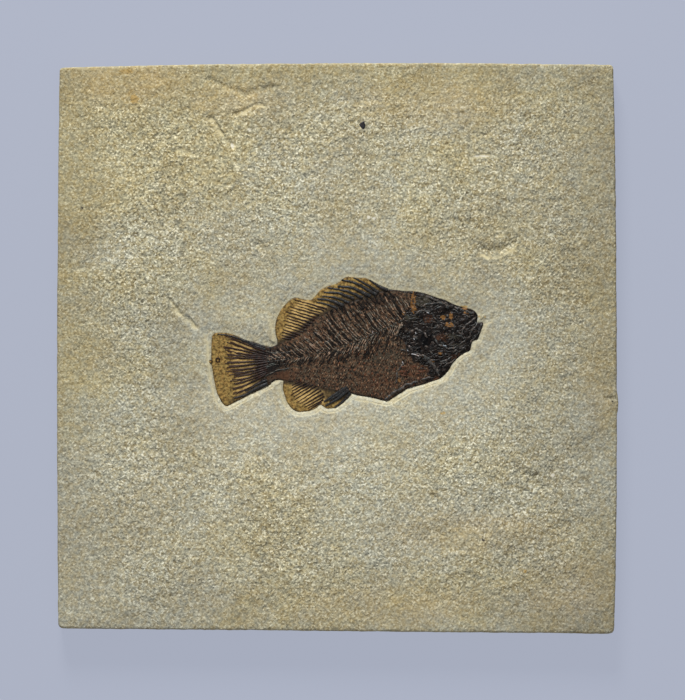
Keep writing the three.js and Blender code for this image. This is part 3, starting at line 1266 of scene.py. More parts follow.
        # Painted light: a patchy pale halo on the gentle slope above and beside the fish that lifts the
        # slope's shade, partly the paler smoothed stone there.
        halo_and_painted_light = 0.5 * ease(1.0 - (gap - self.wall_margin) / self.halo_run) * (gap > 0) * patchy
        scraped = steep * (0.12 * band + 0.85 * lip_cream_and_highlight * patchy) + (1.0 - steep) * halo_and_painted_light
        for mark in self.marks:
            stray = min(0.35 * mark.width, 0.9)
            away = nearest_on(points, curve_through(mark.path, 0.5))[0]
            near = ease(1.0 - 1.1 * (away + stray * lattice_noise(points, 2.6, seed=24)) / mark.width)
            height = height - mark.depth * near
            streaks = 0.5 + 0.6 * lattice_noise(points, 2.4, seed=22)
            # Pale paint on the marks: fresh scraped stone, and on the narrow raised rims a painted highlight
            # of their lit side.
            scraped = np.maximum(scraped, mark.fresh * near * streaks)
        return height, scraped, gap

    def side_rows(self, rim: Array) -> list[Array]:
        """Shapes the sawn sides from just under the face to the back.

        Args:
            rim: the slab's full outline.

        Returns:
            One loop of points for each row, going down.
        """
        along = np.arange(len(rim)) * self.rim_spacing
        drops = (0.25, 0.8, 2.4, 4.2, 6.0, 7.8, 9.6, 11.4, 13.1, 13.65, 13.9)
        insets = (0.3, 0.05, 0, 0, 0, 0, 0, 0, 0.05, 0.3, 0.9)
        rows = []
        for number, (drop, inset) in enumerate(zip(drops, insets)):
            places = np.column_stack([along, np.full(len(rim), drop)])
            ragged = 0.12 * lattice_noise(places * (1.0, 3.0), 6.0, seed=31)
            ragged += 0.07 * lattice_noise(places, 1.6, seed=32 + number)
            moved = offset_loop(rim, -inset - 0.12 - ragged)
            rows.append(np.column_stack([moved, np.full(len(rim), self.thickness - drop)]))
        return rows

    def build(self, plan: FishPlan, finish: LimestoneFinish) -> None:
        """Builds the stone.

        Args:
            plan: where the fish lies.
            finish: its finish.
        """
        rim = evenly(closed(self.outline), self.rim_spacing)[:-1]
        along = np.column_stack([np.arange(len(rim)) * self.rim_spacing, np.zeros(len(rim))])
        chips = np.maximum(lattice_noise(along, 7.0, seed=41) - 0.45, 0.0) * 2.2
        edge = offset_loop(rim, -self.rim_run - chips)
        inner = self.face_points(plan, edge)
        flat = np.vstack([edge, inner])
        height, scraped, gap = self.face_height(flat, plan)
        count = len(rim)
        rows = self.side_rows(rim)
        back_edge = rows[-1][:, :2]
        back = scatter_grid(back_edge, self.back_spacing, 1.0, seed=14)
        lift = 0.2 + 0.1 * lattice_noise(back, 22.0, seed=42)
        points = np.vstack([np.column_stack([flat, height]), *rows, np.column_stack([back, lift])])
        numbers = [np.arange(count)]
        for row in range(len(rows)):
            numbers.append(np.arange(count) + len(flat) + row * count)
        faces = [triangulate(edge, inner)]
        faces += [skirt(upper, lower) for upper, lower in zip(numbers, numbers[1:])]
        back_inner = np.arange(len(back)) + len(flat) + len(rows) * count
        back_numbers = np.concatenate([numbers[-1], back_inner])
        faces.append(back_numbers[triangulate(back_edge, back)][:, ::-1])
        piece = mesh_piece("stone_slab", points, np.vstack(faces))
        self.dress(piece, flat, scraped, gap, len(back) + 2 * count)
        relief = Relief(grain=(2.6, 1.05), lump=(7.0, 0.7), swell=(60.0, 0.9), crease=(3.4, 0.3))
        relief.apply(piece, finish.build())
        settle(piece, Slot.LIMESTONE, "slab")

    def dress(self, piece: Piece, flat: Array, scraped: Array, gap: Array, under: int) -> None:
        """Paints where the stone is rough, warm, scraped and spotted, and the painted light and shade on it.

        Args:
            piece: the slab.
            flat: places on the face, which come first among the piece's points.
            scraped: how freshly scraped each place is, with painted highlight and painted light added.
            gap: distance of each place from the fish.
            under: how many points, last in the piece, the slab rests on.
        """
        total = len(piece.data.vertices)

        def whole(values: Array, rest: float) -> Array:
            """Face values, with one number for the sides and back."""
            return np.concatenate([values, np.full(total - len(values), rest)])

        near = ease(1.0 - gap / self.smooth_run)
        edge_gap = nearest_on(flat, closed(self.outline))[0]
        by_edge = ease(1.0 - edge_gap / self.edge_run)
        rough = (1.2 - 0.75 * near) * (1.0 - 0.7 * scraped) * ease((gap + 0.3) / 0.8)
        rough *= 1.0 - 0.42 * by_edge
        rough *= 1.0 + 0.2 * lattice_noise(flat, 30.0, seed=51)
        around = ease(1.0 - gap / self.shade_run)
        below = ease((10.0 - flat[:, 1]) / 45.0)
        slanted = flat @ np.array(((0.82, -0.2), (0.57, 1.6)))
        warm = 0.36 + 0.3 * by_edge + 0.25 * flat[:, 1] / self.outline[:, 1].max() - 0.4 * around
        warm += 0.4 * lattice_noise(slanted, 34.0, seed=52) + 0.3 * lattice_noise(flat, 9.0, seed=53)
        right = ease((flat[:, 0] - 50.0) / 70.0)
        left = ease((-50.0 - flat[:, 0]) / 40.0)
        low = ease((-25.0 - flat[:, 1]) / 40.0)
        warm -= 0.35 * right + 0.4 * low * left
        warm = np.clip(warm + spot_mask(flat, self.spots, Tint.WARM), 0.0, 1.0)
        # Painted light and shade: a brightness factor multiplied into the stone's colour, darker towards the
        # slab's edges and sides, lighter below and around the fish.
        light = 1.02 - 0.15 * by_edge + (0.02 + 0.15 * below - 0.2 * left) * around - 0.075 * right
        light += 0.05 * lattice_noise(slanted, 30.0, seed=54) + 0.08 * low
        upper_left = 0.05 * left * ease((flat[:, 1] - 50.0) / 60.0)
        light -= upper_left + 0.1 * right * ease((-60.0 - flat[:, 1]) / 50.0)
        calm = whole(rough, 0.35)
        calm[-under:] = 0.08
        paint(piece, Tint.ROUGH, calm)
        paint(piece, Tint.WARM, whole(warm, 0.7))
        paint(piece, Tint.LIGHT, whole(light, 0.95))
        paint(piece, Tint.SCRAPED_AND_LIT, whole(scraped, 0.0))
        for tint in (Tint.DARK, Tint.PALE, Tint.RUST, Tint.RED):
            paint(piece, tint, whole(spot_mask(flat, self.spots, tint), 0.0))


@dataclass
class FishBody:
    """The flattened trunk and head, crowned towards the middle, with the head's lumps."""

    loop: Array
    plan: FishPlan
    spacing: float = 0.5
    rim: float = -0.04
    crown: float = 0.85
    crown_run: float = 4.0
    head_from: Path = ((33, 34), (35, 24), (33.5, 17), (31, 12), (31.5, 3), (34.5, -4), (41, -8), (46, -20))
    lumps: tuple[tuple[float, float, float, float], ...] = (
        (42.2, 3.6, 6.0, 0.55), (54.9, 16.2, 3.0, -0.55), (60.0, 9.0, 5.0, 0.35), (46.0, 20.0, 6.0, 0.3),
        (66.0, 10.0, 4.0, 0.3), (50.0, -4.0, 5.0, 0.3), (38.0, -12.0, 7.0, -0.15), (45.4, 2.6, 2.8, -0.9),
    )
    stains: tuple[Patches, ...] = (
        Patches(Tint.RUST, (
            (37.7, 23.4, 1.4, 4.8, 0.66), (38.2, 19, 1.3, 1.5, 1.0), (32.9, 17.7, 0.8, 1, 0.8),
            (52.6, 15.5, 1.4, 1.1, 1.0), (56.6, 16.2, 1.0, 1.6, 0.9), (56, 11.9, 2.4, 1.1, 1.0),
            (64.5, 17.9, 1.6, 0.8, 1.0), (63.1, 19.8, 2, 0.7, 0.9), (51.4, -2.8, 1.2, 0.7, 0.9),
            (47.4, -6.5, 1.2, 0.7, 0.9), (42.8, -4.3, 0.8, 0.5, 0.8), (31, -16, 1, 0.9, 0.9),
            (22.6, 5.2, 1.2, 0.8, 0.5),
        )),
        # Near-black in the gill cover's hollow, partly painted shade in the recess that the body's lumps dig
        # there.
        Patches(Tint.DARK, ((44.4, 4.2, 3.2, 4, 0.95), (39.6, -0.6, 2.4, 2, 0.8))),
        Patches(Tint.RED, (
            (46.2, 3.4, 1.2, 2.2, 0.8), (38.2, -11.4, 7.5, 3.4, 0.85), (-25.8, -13.6, 6, 2.4, 0.75),
            (49.5, -15, 1.6, 1.2, 0.9), (45.6, 14.6, 3.4, 2, 0.6), (52.4, 5.4, 4, 2, 0.62),
            (60, -4, 4, 2, 0.5), (20, -18, 12, 6, 0.5), (-10, 6, 10, 5, 0.45),
        )),
        Patches(Tint.PALE, (
            (42.4, 23.4, 4.6, 3, 0.75), (36.4, 15.4, 3.4, 1.8, 0.65), (56.4, 6, 5, 1.6, 0.6),
            (60, 1.6, 4, 1, 0.6), (24, -4, 9, 4, 0.55),
        )),
    )

    def headness(self, points: Array) -> Array:
        """Says how far each place belongs to the head.

        Args:
            points: places on the body.

        Returns:
            A share from 0 on the trunk to 1 on the head.
        """
        border = curve_through(self.head_from, 0.5)
        order = np.argsort(border[:, 1])
        line = np.interp(points[:, 1], border[order, 1], border[order, 0])
        ragged = 2.6 * lattice_noise(points, 3.2, seed=25) + 2.2 * lattice_noise(points, 1.3, seed=26)
        return ease((points[:, 0] - line + ragged + 1.0) / 3.4)

    def blackness(self, points: Array) -> Array:
        """Says how black the trunk is: at the tail's root and under the spiny fin.

        Args:
            points: places on the body.

        Returns:
            A share of black for each place.
        """
        middle = ease(1.7 - np.abs(points[:, 1] + 6.5) / 6.0)
        tail = ease((-22.0 - points[:, 0]) / 11.0) * middle
        under_fin = np.linalg.norm((points - np.array((19.0, 24.5))) / np.array((15.0, 6.0)), axis=1)
        ragged = 0.3 * lattice_noise(points, 1.8, seed=27)
        return np.maximum(tail, 0.65 * ease(1.2 - under_fin + ragged))

    def height(self, points: Array) -> Array:
        """Shapes the fish's surface.

        Args:
            points: places on the body.

        Returns:
            The height of each place.
        """
        inward = nearest_on(points, closed(self.loop))[0]
        swell = 1.0 - np.exp(-inward / self.crown_run)
        height = self.plan.bed(points) + self.rim + self.crown * swell
        for x, y, reach, rise in self.lumps:
            span = np.linalg.norm(points - np.array((x, y)), axis=1) / reach
            height = height + rise * np.exp(-span * span) * np.minimum(inward / 2.0, 1.0)
        return height

    def lay(self, line: Array, rise: float | Array) -> Array:
        """Points of a flat line, a little above or below the fish's surface."""
        return np.column_stack([line, self.height(line) + rise])

    def build(self) -> None:
        """Builds the body."""
        loop = evenly(closed(self.loop), self.spacing)[:-1]
        inner = scatter_grid(loop, self.spacing, 0.6 * self.spacing, seed=15)
        flat = np.vstack([loop, inner])
        head = self.headness(flat)
        inward = nearest_on(flat, closed(loop))[0]
        # Painted shade: a dark band about 1 mm wide inside the body's outline stands in for the shadow line
        # along the fish's edge.
        border = 0.95 * ease(1.2 - inward / 1.1)
        tints = {
            Tint.ROUGH: (0.36 + 1.44 * head) * ease(0.15 + inward / 1.3),
            Tint.HEAD: 0.9 * np.maximum.reduce([head, self.blackness(flat), border]),
        }
        for tint in (Tint.RUST, Tint.RED, Tint.PALE, Tint.DARK):
            tints[tint] = spot_mask(flat, self.stains, tint)
        piece = plate("fish_body", loop, inner, self.height(flat), self.plan.floor, tints)
        relief = Relief(grain=(1.2, 0.7), lump=(2.6, 1.0), swell=(12.0, 0.5), crease=(2.4, 0.45))
        relief.apply(piece, bone_material(Bone.TRUNK))
        settle(piece, Slot.FISH_BONE, "fish")


@dataclass
class Fan:
    """Fin rays or spines spread evenly between a line of roots and a line of tips."""

    roots: Path
    tips: Path
    count: int
    root_radius: float
    tip_radius: float
    kind: RayKind = RayKind.SOFT
    forked: bool = False

    def lines(self) -> list[Array]:
        """Draws each ray in the plane.

        Returns:
            The points of each ray, from root to tip.
        """
        shares = np.linspace(0.0, 1.0, self.count)
        ends = []
        for guide in (self.roots, self.tips):
            curve = curve_through(guide, 0.2)
            ends.append(curve[np.round(shares * (len(curve) - 1)).astype(int)])
        steps = np.linspace(0.0, 1.0, 9)[:, None]
        return [root + (tip - root) * steps for root, tip in zip(*ends)]


@dataclass
class Strokes:
    """Fin rays or spines drawn one by one, each path from its tip to its root."""

    paths: tuple[Path, ...]
    root_radius: float
    tip_radius: float
    kind: RayKind = RayKind.SOFT
    forked: bool = False

    def lines(self) -> list[Array]:
        """Draws each ray in the plane, from root to tip."""
        return [curve_through(path[::-1], 0.8) for path in self.paths]


@dataclass
class Fin:
    """A fin: a thin ochre skin with bony rays or spines lying on it."""

    name: str
    root: Path
    tuck: Pair
    fans: tuple[Fan | Strokes, ...]
    spacing: float = 0.6
    skin_height: float = 0.08
    fork_gap: float = 0.32
    dark_run: float = 3.0
    dark_edge: float = 0.5
    shades: tuple[Patches, ...] = ()

    def build_skin(self, edge: Array, plan: FishPlan) -> None:
        """Builds the fin's skin.

        Args:
            edge: the fin's free edge.
            plan: where the fish lies.
        """
        root = curve_through(self.root, self.spacing) + np.array(self.tuck)
        loop = evenly(closed(np.vstack([edge, root[::-1]])), self.spacing)[:-1]
        inner = scatter_grid(loop, self.spacing, 0.6 * self.spacing, seed=16)
        flat = np.vstack([loop, inner])
        inward = nearest_on(flat, closed(loop))[0]
        top = plan.bed(flat) + self.skin_height * (1.0 - np.exp(-inward / 0.8))
        rays = [line for fan in self.fans if fan.kind is RayKind.SOFT for line in fan.lines()]
        away = np.min([nearest_on(flat, line[: len(line) * 4 // 5])[0] for line in rays], axis=0)
        shades = 0.85 * spot_mask(flat, self.shades, Tint.DARK)
        tints = {
            Tint.ROUGH: np.ones(len(flat)),
            Tint.WARM: ease(1.4 - away / 1.1) * (0.75 + 0.5 * lattice_noise(flat, 1.2, seed=28)),
            Tint.HEAD: np.maximum(self.darkness(flat, edge), shades),
        }
        piece = plate(f"{self.name}_skin", loop, inner, top, plan.floor, tints)
        relief = Relief(grain=(1.0, 0.25), lump=(3.0, 0.3), swell=(9.0, 0.3))
        relief.apply(piece, bone_material(Bone.FIN_SKIN))
        settle(piece, Slot.FISH_BONE)

    def darkness(self, points: Array, edge: Array) -> Array:
        """Says how dark the skin is: darkest by the root and along the fin's two ends.

        Args:
            points: places on the fin.
            edge: the fin's free edge.

        Returns:
            A darkness from 0 to 1 for each place.
        """
        root = curve_through(self.root, self.spacing)
        from_root = nearest_on(points, root)[0] * (1.0 + 0.35 * lattice_noise(points, 1.5, seed=29))
        ends = np.minimum(
            nearest_on(points, edge[: len(edge) // 4])[0],
            nearest_on(points, edge[-(len(edge) // 4) :])[0],
        )
        shade = ease(1.1 - from_root / self.dark_run)
        sides = ease(1.3 - ends / self.dark_edge) * ease(1.2 - from_root / (3.0 * self.dark_run))
        from_edge = nearest_on(points, edge)[0]
        frayed = ease(1.1 - from_edge / 0.8) * (0.4 + 0.5 * lattice_noise(points, 2.2, seed=30))
        return np.clip(0.9 * np.maximum.reduce([shade, sides, frayed]), 0.0, 1.0)

    def build_rays(self, plan: FishPlan) -> None:
        """Builds the fin's rays and spines, one piece for each fan.

        Args:
            plan: where the fish lies.
        """
        for number, fan in enumerate(self.fans):
            drawn = []
            for line in fan.lines():
                if not fan.forked:
                    drawn.append(line)
                    continue
                ahead = line[-1] - line[0]
                across = np.array((-ahead[1], ahead[0])) / np.linalg.norm(ahead)
                spread = ease((np.linspace(0.0, 1.0, len(line)) - 0.35) / 0.65)[:, None]
                drawn.append(line + across * spread * self.fork_gap)
                drawn.append(line - across * spread * self.fork_gap)
            random = np.random.default_rng(91 + number)
            lines = []
            for line in drawn:
                end = line[0] + (line - line[0]) * random.uniform(0.88, 1.02)
                lines.append(plan.lay(end, 0.12))
            girths = random.uniform(0.75, 1.2, len(lines)).tolist()
            label = f"{self.name}_{fan.kind.value}_{number + 1}"
            kind = Bone.FIN_SPINE if fan.kind is RayKind.SPINE else Bone.RAY
            sweep(label, lines, fan.root_radius, fan.tip_radius, kind, girths=girths, wobble=0.6)


def sweep(
    name: str,
    lines: list[Array],
    root_radius: float,
    tip_radius: float,
    kind: Bone,
    girths: list[float] | None = None,
    wobble: float = 0.35,
    flatness: float = 0.75,
) -> None:
    """Turns drawn lines into one piece of tapering bones.

    Args:
        name: the piece's name.
        lines: points of each bone in millimetres, from root to tip.
        root_radius: radius at the root.
        tip_radius: radius at the tip.
        kind: what the bones look like.
        girths: how much thicker each bone is than the rest.
        wobble: how far the bones stray from their lines.
        flatness: height of a bone as a share of its width.
    """
    sizes = girths or [1.0] * len(lines)
    starts = np.cumsum([0, *[len(line) for line in lines]])
    edges = [
        (start + i, start + i + 1) for start, line in zip(starts, lines) for i in range(len(line) - 1)
    ]
    piece = mesh_piece(name, np.vstack(lines), np.array(edges))
    paint(piece, Tint.ALONG, np.concatenate([np.linspace(0.0, 1.0, len(line)) for line in lines]))
    paint(piece, Tint.GIRTH, np.concatenate([np.full(len(line), size) for line, size in zip(lines, sizes)]))
    values = {
        "Root Radius": root_radius * MM, "Tip Radius": tip_radius * MM, "Flatness": flatness,
        "Step": SWEEP_STEP * MM, "Wobble": wobble * MM, "Wobble Size": WOBBLE_SIZE * MM,
        "Material": bone_material(kind),
    }
    run_tree(piece, sweep_tree(), values)
    settle(piece, Slot.FISH_BONE)


def lone_grain(name: str, place: Array, size: tuple[float, float, float], kind: Bone) -> None:
    """Builds one rounded grain, such as the eye.

    Args:
        name: its name.
        place: its middle, as a list of one point.
        size: its length, width and thickness.
        kind: what it looks like.
    """
    piece = mesh_piece(name, place, np.zeros((0, 3), int))
    paint(piece, Tint.TURN, np.array([0.3]))
    paint(piece, Tint.SIZE, np.array([1.0]))
    values: dict[str, Any] = {"Lift": 0.0, "Tumble": 0.0, "Material": bone_material(kind)}
    for label, measure in zip(("Length", "Width", "Thickness"), size):
        values[label] = measure * MM
    run_tree(piece, scale_tree(), values)
    settle(piece, Slot.FISH_BONE)


@dataclass
class Skeleton:
    """The bones that show through the trunk: backbone, upper spines, lower spines and ribs."""

    backbone: Path = (
        (-34.8, -6.9), (-30.6, -5.6), (-20.8, -5.1), (-11.3, -2.7), (-1.8, -0.8), (7.7, 2.6),
        (17.2, 6.8), (26.7, 11.1), (34.7, 15.4),
    )
    pitch: float = 2.7
    fin_support_count: int = 15
    fibres: tuple[Path, ...] = (
        ((-44, -1.6), (-39, -3), (-34, -4.6), (-26, -4.4)),
        ((-43, -12), (-38.6, -10.4), (-35, -8.6), (-27, -6.4)),
        ((-42, -6.2), (-36, -6.6), (-31, -6.2), (-23, -5.2)),
        ((-38.6, -0.6), (-33, -2.2), (-28, -2.4), (-22, -1)),
        ((-38.4, -15.2), (-34, -12.8), (-30, -11), (-24, -10)),
        ((-36, -9.6), (-31, -8.2), (-25.6, -7.6)),
    )
    vertebra_radius: float = 1.0
    nape: Path = ((35.4, 15.8), (38.4, 17.6), (41.4, 19.4))
    upper_angles: Pair = (138.0, 116.0)
    lower_angles: Pair = (-120.0, -102.0)
    bow: float = 20.0
    bow_run: float = 5.0
    step: float = 0.5
    proud: float = 0.18
    lost: float = 0.06
    stray: float = 4.5
    longest: float = 30.0
    head_limit: float = 0.7
    radii: Pair = (0.38, 0.28)
    support_angle: float = -56.0
    support_radii: Pair = (0.55, 0.28)
    fibre_radii: Pair = (0.36, 0.24)
    vertebra_sunk: float = 0.62
    vertebra_waist: float = 0.62
    vertebra_share: float = 0.86

    def reach(self, start: Array, angle: float, body: FishBody, margin: float) -> Array:
        """Draws a bone from the backbone until it nears the body's edge.

        Args:
            start: where it leaves the backbone.
            angle: direction in degrees, counter-clockwise from +X.
            body: the body.
            margin: how far it stops from the edge.

        Returns:
            Points along the bone.
        """
        along = np.arange(0.0, self.longest, self.step)
        turns = np.radians(angle + math.copysign(self.bow, angle) * np.exp(-along / self.bow_run))
        places = start + self.step * np.cumsum(np.column_stack([np.cos(turns), np.sin(turns)]), axis=0)
        good = is_inside(places, body.loop) & (nearest_on(places, closed(body.loop))[0] > margin)
        stop = int(np.argmin(good)) if not good.all() else len(places)
        return places[: max(stop, LEAST_POINTS)]

    def build(self, body: FishBody) -> None:
        """Builds the bones.

        Args:
            body: the body that they lie in.
        """
        self.build_backbone(body)
        random = np.random.default_rng(81)
        lower = curve_through(self.backbone, self.pitch / 4.0)
        upper = np.vstack([lower, curve_through(self.nape, self.pitch / 4.0)])
        for label, starts, angles, margin, length, offset, kind in (
            ("upper_spines", upper, self.upper_angles, 1.0, 1.0, 0, Bone.SPINE),
            ("upper_ribs", upper, self.upper_angles, 1.4, 0.96, 1, Bone.RIB),
            ("lower_spines", lower, self.lower_angles, 2.0, 0.5, 0, Bone.SPINE),
            ("lower_ribs", lower, self.lower_angles, 2.0, 0.3, 1, Bone.RIB),
        ):
            lines = []
            for number in range(offset, len(starts), 2):
                if random.uniform() < self.lost:
                    continue
                lean = (angles[1] - angles[0]) * number / len(starts)
                angle = angles[0] + lean + random.normal(0.0, self.stray)
                drawn = self.reach(starts[number], angle, body, margin)
                drawn = drawn[: max(LEAST_POINTS, int(len(drawn) * length * random.uniform(0.8, 1.0)))]
                lines += self.broken(drawn[body.headness(drawn) < self.head_limit], random)
            lines = [body.lay(part, self.proud * (1.0 + 3.0 * body.headness(part))) for part in lines]
            girths = random.uniform(0.5, 1.3, len(lines)).tolist()
            sweep(label, lines, *self.radii, kind, girths=girths, wobble=1.7)
        self.build_fin_supports(body)

    @staticmethod
    def broken(line: Array, random: np.random.Generator) -> list[Array]:
        """Breaks a bone into lengths with small gaps between them.

        Args:
            line: points along the bone.
            random: the seeded source of the lengths.

        Returns:
            The lengths that are long enough to keep.
        """
        parts = []
        at = int(random.integers(0, 4))
        while at < len(line):
            run = int(random.integers(9, 26))
            parts.append(line[at : at + run])
            at += run + int(random.integers(1, 4))
        return [part for part in parts if len(part) >= LEAST_POINTS]

    def build_fin_supports(self, body: FishBody) -> None:
        """Builds the dark strokes of bone that carry the spiny fin.

        Args:
            body: the body that they lie in.
        """
        random = np.random.default_rng(82)
        root = curve_through(DORSAL_FIN.root[:8], 0.2)
        lines = []
        for place in np.linspace(0, len(root) - 1, self.fin_support_count).astype(int):
            angle = math.radians(self.support_angle + random.normal(0.0, 6.0))
            heading = np.array((math.cos(angle), math.sin(angle)))
            run = np.arange(1.0, random.uniform(4.5, 8.0), 0.6)
            drawn = root[place] + heading * run[:, None]
            drawn = drawn[is_inside(drawn, body.loop)]
            if len(drawn) >= LEAST_POINTS:
                lines.append(body.lay(drawn, 0.2))
        girths = random.uniform(0.7, 1.3, len(lines)).tolist()
        sweep("fin_supports", lines, *self.support_radii, Bone.SPINE, girths=girths, wobble=1.0)

    def build_backbone(self, body: FishBody) -> None:
        """Builds the vertebrae and the fibres at the tail's root.

        Args:
            body: the body that they lie in.
        """
        fibres = [curve_through(path, 0.8) for path in self.fibres]
        fibres = [body.lay(line[is_inside(line, body.loop)], 0.1) for line in fibres]
        sweep("tail_fibres", fibres, *self.fibre_radii, Bone.BACKBONE, wobble=0.9)
        line = curve_through(self.backbone, self.pitch)
        line = body.lay(line, -self.vertebra_sunk * self.vertebra_radius)
        edges = np.column_stack([np.arange(len(line) - 1), np.arange(1, len(line))])
        piece = mesh_piece("backbone", line, edges)
        paint(piece, Tint.GIRTH, np.linspace(0.75, 1.15, len(line)))
        values = {
            "Pitch": self.pitch * MM, "Length": self.vertebra_share * self.pitch * MM,
            "Radius": self.vertebra_radius * MM, "Waist": self.vertebra_waist,
            "Material": bone_material(Bone.BACKBONE),
        }
        run_tree(piece, vertebra_tree(), values)
        settle(piece, Slot.FISH_BONE)


@dataclass
class ScaleCover:
    """A mosaic of small scales over the trunk."""

    name: str = "trunk_scales"
    kind: Bone = Bone.SCALE
    seed: int = 61
    pitch: float = 1.3
    length: float = 2.1
    width: float = 0.62
    thickness: float = 0.42
    missing: float = 0.25
    upper_missing: float = 0.45
    bare_from: float = -20.0
    upper_turn: float = 2.2
    lower_turn: float = 1.3
    clear: float = 0.9
    sunk: float = 0.02
    lift: float = 0.16
    tumble: float = 0.22
    head_limit: float = 0.2

    def build(self, body: FishBody, backbone: Path) -> None:
        """Builds the scales.

        Args:
            body: the body that they lie on.
            backbone: line that parts the upper scales from the lower ones.
        """
        random = np.random.default_rng(self.seed)
        places = scatter_grid(body.loop, self.pitch, self.clear, self.seed)
        line = curve_through(backbone, 0.5)
        order = np.argsort(line[:, 0])
        above = places[:, 1] - np.interp(places[:, 0], line[order, 0], line[order, 1])
        upper = ease(above / 6.0 + 0.5)
        bare = self.missing + self.upper_missing * upper + ease((self.bare_from - places[:, 0]) / 10.0)
        bare = bare + body.blackness(places)
        kept = body.headness(places) < self.head_limit
        kept &= random.uniform(size=len(places)) > bare
        places = places[kept]
        piece = mesh_piece(self.name, body.lay(places, -self.sunk), np.zeros((0, 3), int))
        lean = self.lower_turn + (self.upper_turn - self.lower_turn) * upper[kept]
        paint(piece, Tint.TURN, lean + random.normal(0.0, 0.3, len(places)))
        paint(piece, Tint.SIZE, random.uniform(0.6, 1.3, len(places)))
        values = {
            "Length": self.length * MM, "Width": self.width * MM, "Thickness": self.thickness * MM,
            "Lift": self.lift, "Tumble": self.tumble, "Material": bone_material(self.kind),
        }
        run_tree(piece, scale_tree(), values)
        settle(piece, Slot.FISH_BONE)


@dataclass
class Skull:
    """The ridged bones of the head, the gill cover, the shoulder bone and the pelvic spine."""

    ridges: tuple[tuple[Path, float], ...] = (
        (((42.4, 26.6), (48.7, 24.4), (54.9, 21.8), (61.2, 19.4), (67, 17.6)), 1.3),
        (((41.8, 20.6), (46.2, 22.4), (51.2, 22.3), (56.2, 20.4), (61.2, 17.4), (66.2, 15.4)), 0.9),
        (((69.2, 15.8), (66.2, 13.2), (63, 9.4), (61.2, 5.6)), 1.1),
        (((72.2, 12.2), (69.9, 8.2), (66.8, 3.2), (62.4, 0)), 1.2),
        (((70.2, 12.6), (67.4, 9.2), (64.6, 4.6), (61, 2.4)), 0.8),
        (((44.9, 9.4), (48, 6.3), (50.5, 2.5), (54.9, 0.2), (61.2, 0.6)), 1.1),
        (((36.2, 8.2), (39.3, 9.6), (42.4, 8.2), (44.9, 5.6)), 1.4),
        (((35.6, 1.3), (38.7, -2.4), (43.7, -4.2), (48.7, -6)), 1.2),
        (((38.2, 6.6), (40.8, 3.6), (44.6, 0.6), (47.6, -2.6)), 1.3),
        (((43.4, -4.6), (46.6, -7.4), (49.2, -10.4), (51.6, -14)), 2.3),
        (((33, -6.8), (30.6, -10.6), (29.3, -14.4), (29.4, -17.4)), 0.95),
        (((24.1, -25.6), (28, -22.6), (32.4, -19.8), (36.8, -17.6), (42, -15.8), (47, -14.4)), 1.5),
        (((51.8, -3.1), (54.9, -3.2), (58.7, -1.4), (63, 1.8)), 0.9),
        (((51.2, -6.6), (54.9, -5.4), (58.7, -3.2), (62.4, -0.8)), 0.9),
        (((52.4, -9.4), (55.4, -8), (58.6, -5)), 0.8),
        (((57.4, 13.2), (59.9, 9.4), (62.4, 5.7)), 0.9),
        (((49.9, 11.9), (52.4, 9.4), (56.2, 8.2), (59.9, 7)), 0.9),
        (((41.8, 18.2), (43.7, 14.4), (44.9, 10.6)), 1.0),
        (((38.7, 16.9), (42.4, 18.8), (46.2, 18.2)), 0.9),
        (((47.6, 17.6), (49.4, 13.6), (53, 12.2), (57, 12.8), (58.8, 16.2)), 0.8),
        (((47.8, 18), (50, 20.4), (54.4, 20.6), (58, 18.8)), 0.8),
    )
    # Pale chips whose whitish colour is painted highlight: glints on the head's glossy bone near the gill
    # cover.
    chips: tuple[Path, ...] = (
        ((38.8, 8.2), (39.2, 7.2)),
        ((38, 5.6), (38.4, 4.2)),
        ((35.6, 1.5), (36, 0.9)),
        ((34.9, -0.8), (35.2, -1.4)),
        ((37, -2.9), (38.8, -3.2), (40.6, -3.8)),
        ((32.3, -6.6), (32.9, -7.8)),
        ((62.3, 7.6), (62.7, 7.1)),
        ((44.4, 17.9), (45.8, 17.6)),
        ((17.3, 8.8), (17.5, 7.6)),
        ((52.6, 1.4), (54.4, 1.1)),
    )
    throat: tuple[Path, ...] = (
        ((31.5, -9.5), (37, -9.2), (43, -8.6)),
        ((31, -11.5), (37, -11.4), (44.5, -11)),
        ((31.5, -13.5), (38, -13.2), (45.5, -13)),
        ((34, -15.6), (40, -15), (46, -14.6)),
        ((33, -12.6), (36, -12.8), (39, -12)),
    )
    eye: Pair = (54.9, 16.2)
    eye_radius: float = 1.15
    hollow: Pair = (44.4, 4.0)
    hollow_radius: float = 3.2
    sliver_pitch: float = 1.7
    sliver_lean: float = 0.2
    sliver_stray: float = 0.5
    eye_clear: float = 2.6
    ridge_radii: Pair = (0.56, 0.36)
    glint_chip_radii: Pair = (0.34, 0.2)
    fibre_radii: Pair = (0.3, 0.16)
    sliver_radii: Pair = (0.2, 0.14)

    def build(self, body: FishBody) -> None:
        """Builds the ridges, the pale chips that are painted glints, the throat's fibres, the slivers and
        the eye.

        Args:
            body: the body that they lie on.
        """
        lines = [body.lay(curve_through(path, 0.8), 0.1) for path, _ in self.ridges]
        girths = [girth for _, girth in self.ridges]
        radii = self.ridge_radii
        sweep("skull_bones", lines, *radii, Bone.SKULL, girths=girths, wobble=2.6, flatness=0.7)
        # Painted highlight: pale chips for the head's glints.
        chips = [body.lay(curve_through(path, 0.4), 0.6) for path in self.chips]
        sweep("glint_chips", chips, *self.glint_chip_radii, Bone.CHIP, wobble=0.5, flatness=0.5)
        fibres = [body.lay(curve_through(path, 0.6), 0.15) for path in self.throat]
        sweep("throat_fibres", fibres, *self.fibre_radii, Bone.RUSTY, wobble=3.4)
        self.build_slivers(body)
        size = (2.0 * self.eye_radius, 1.8 * self.eye_radius, 1.0)
        lone_grain("eye", body.lay(np.array([self.eye]), 0.1), size, Bone.SKULL)

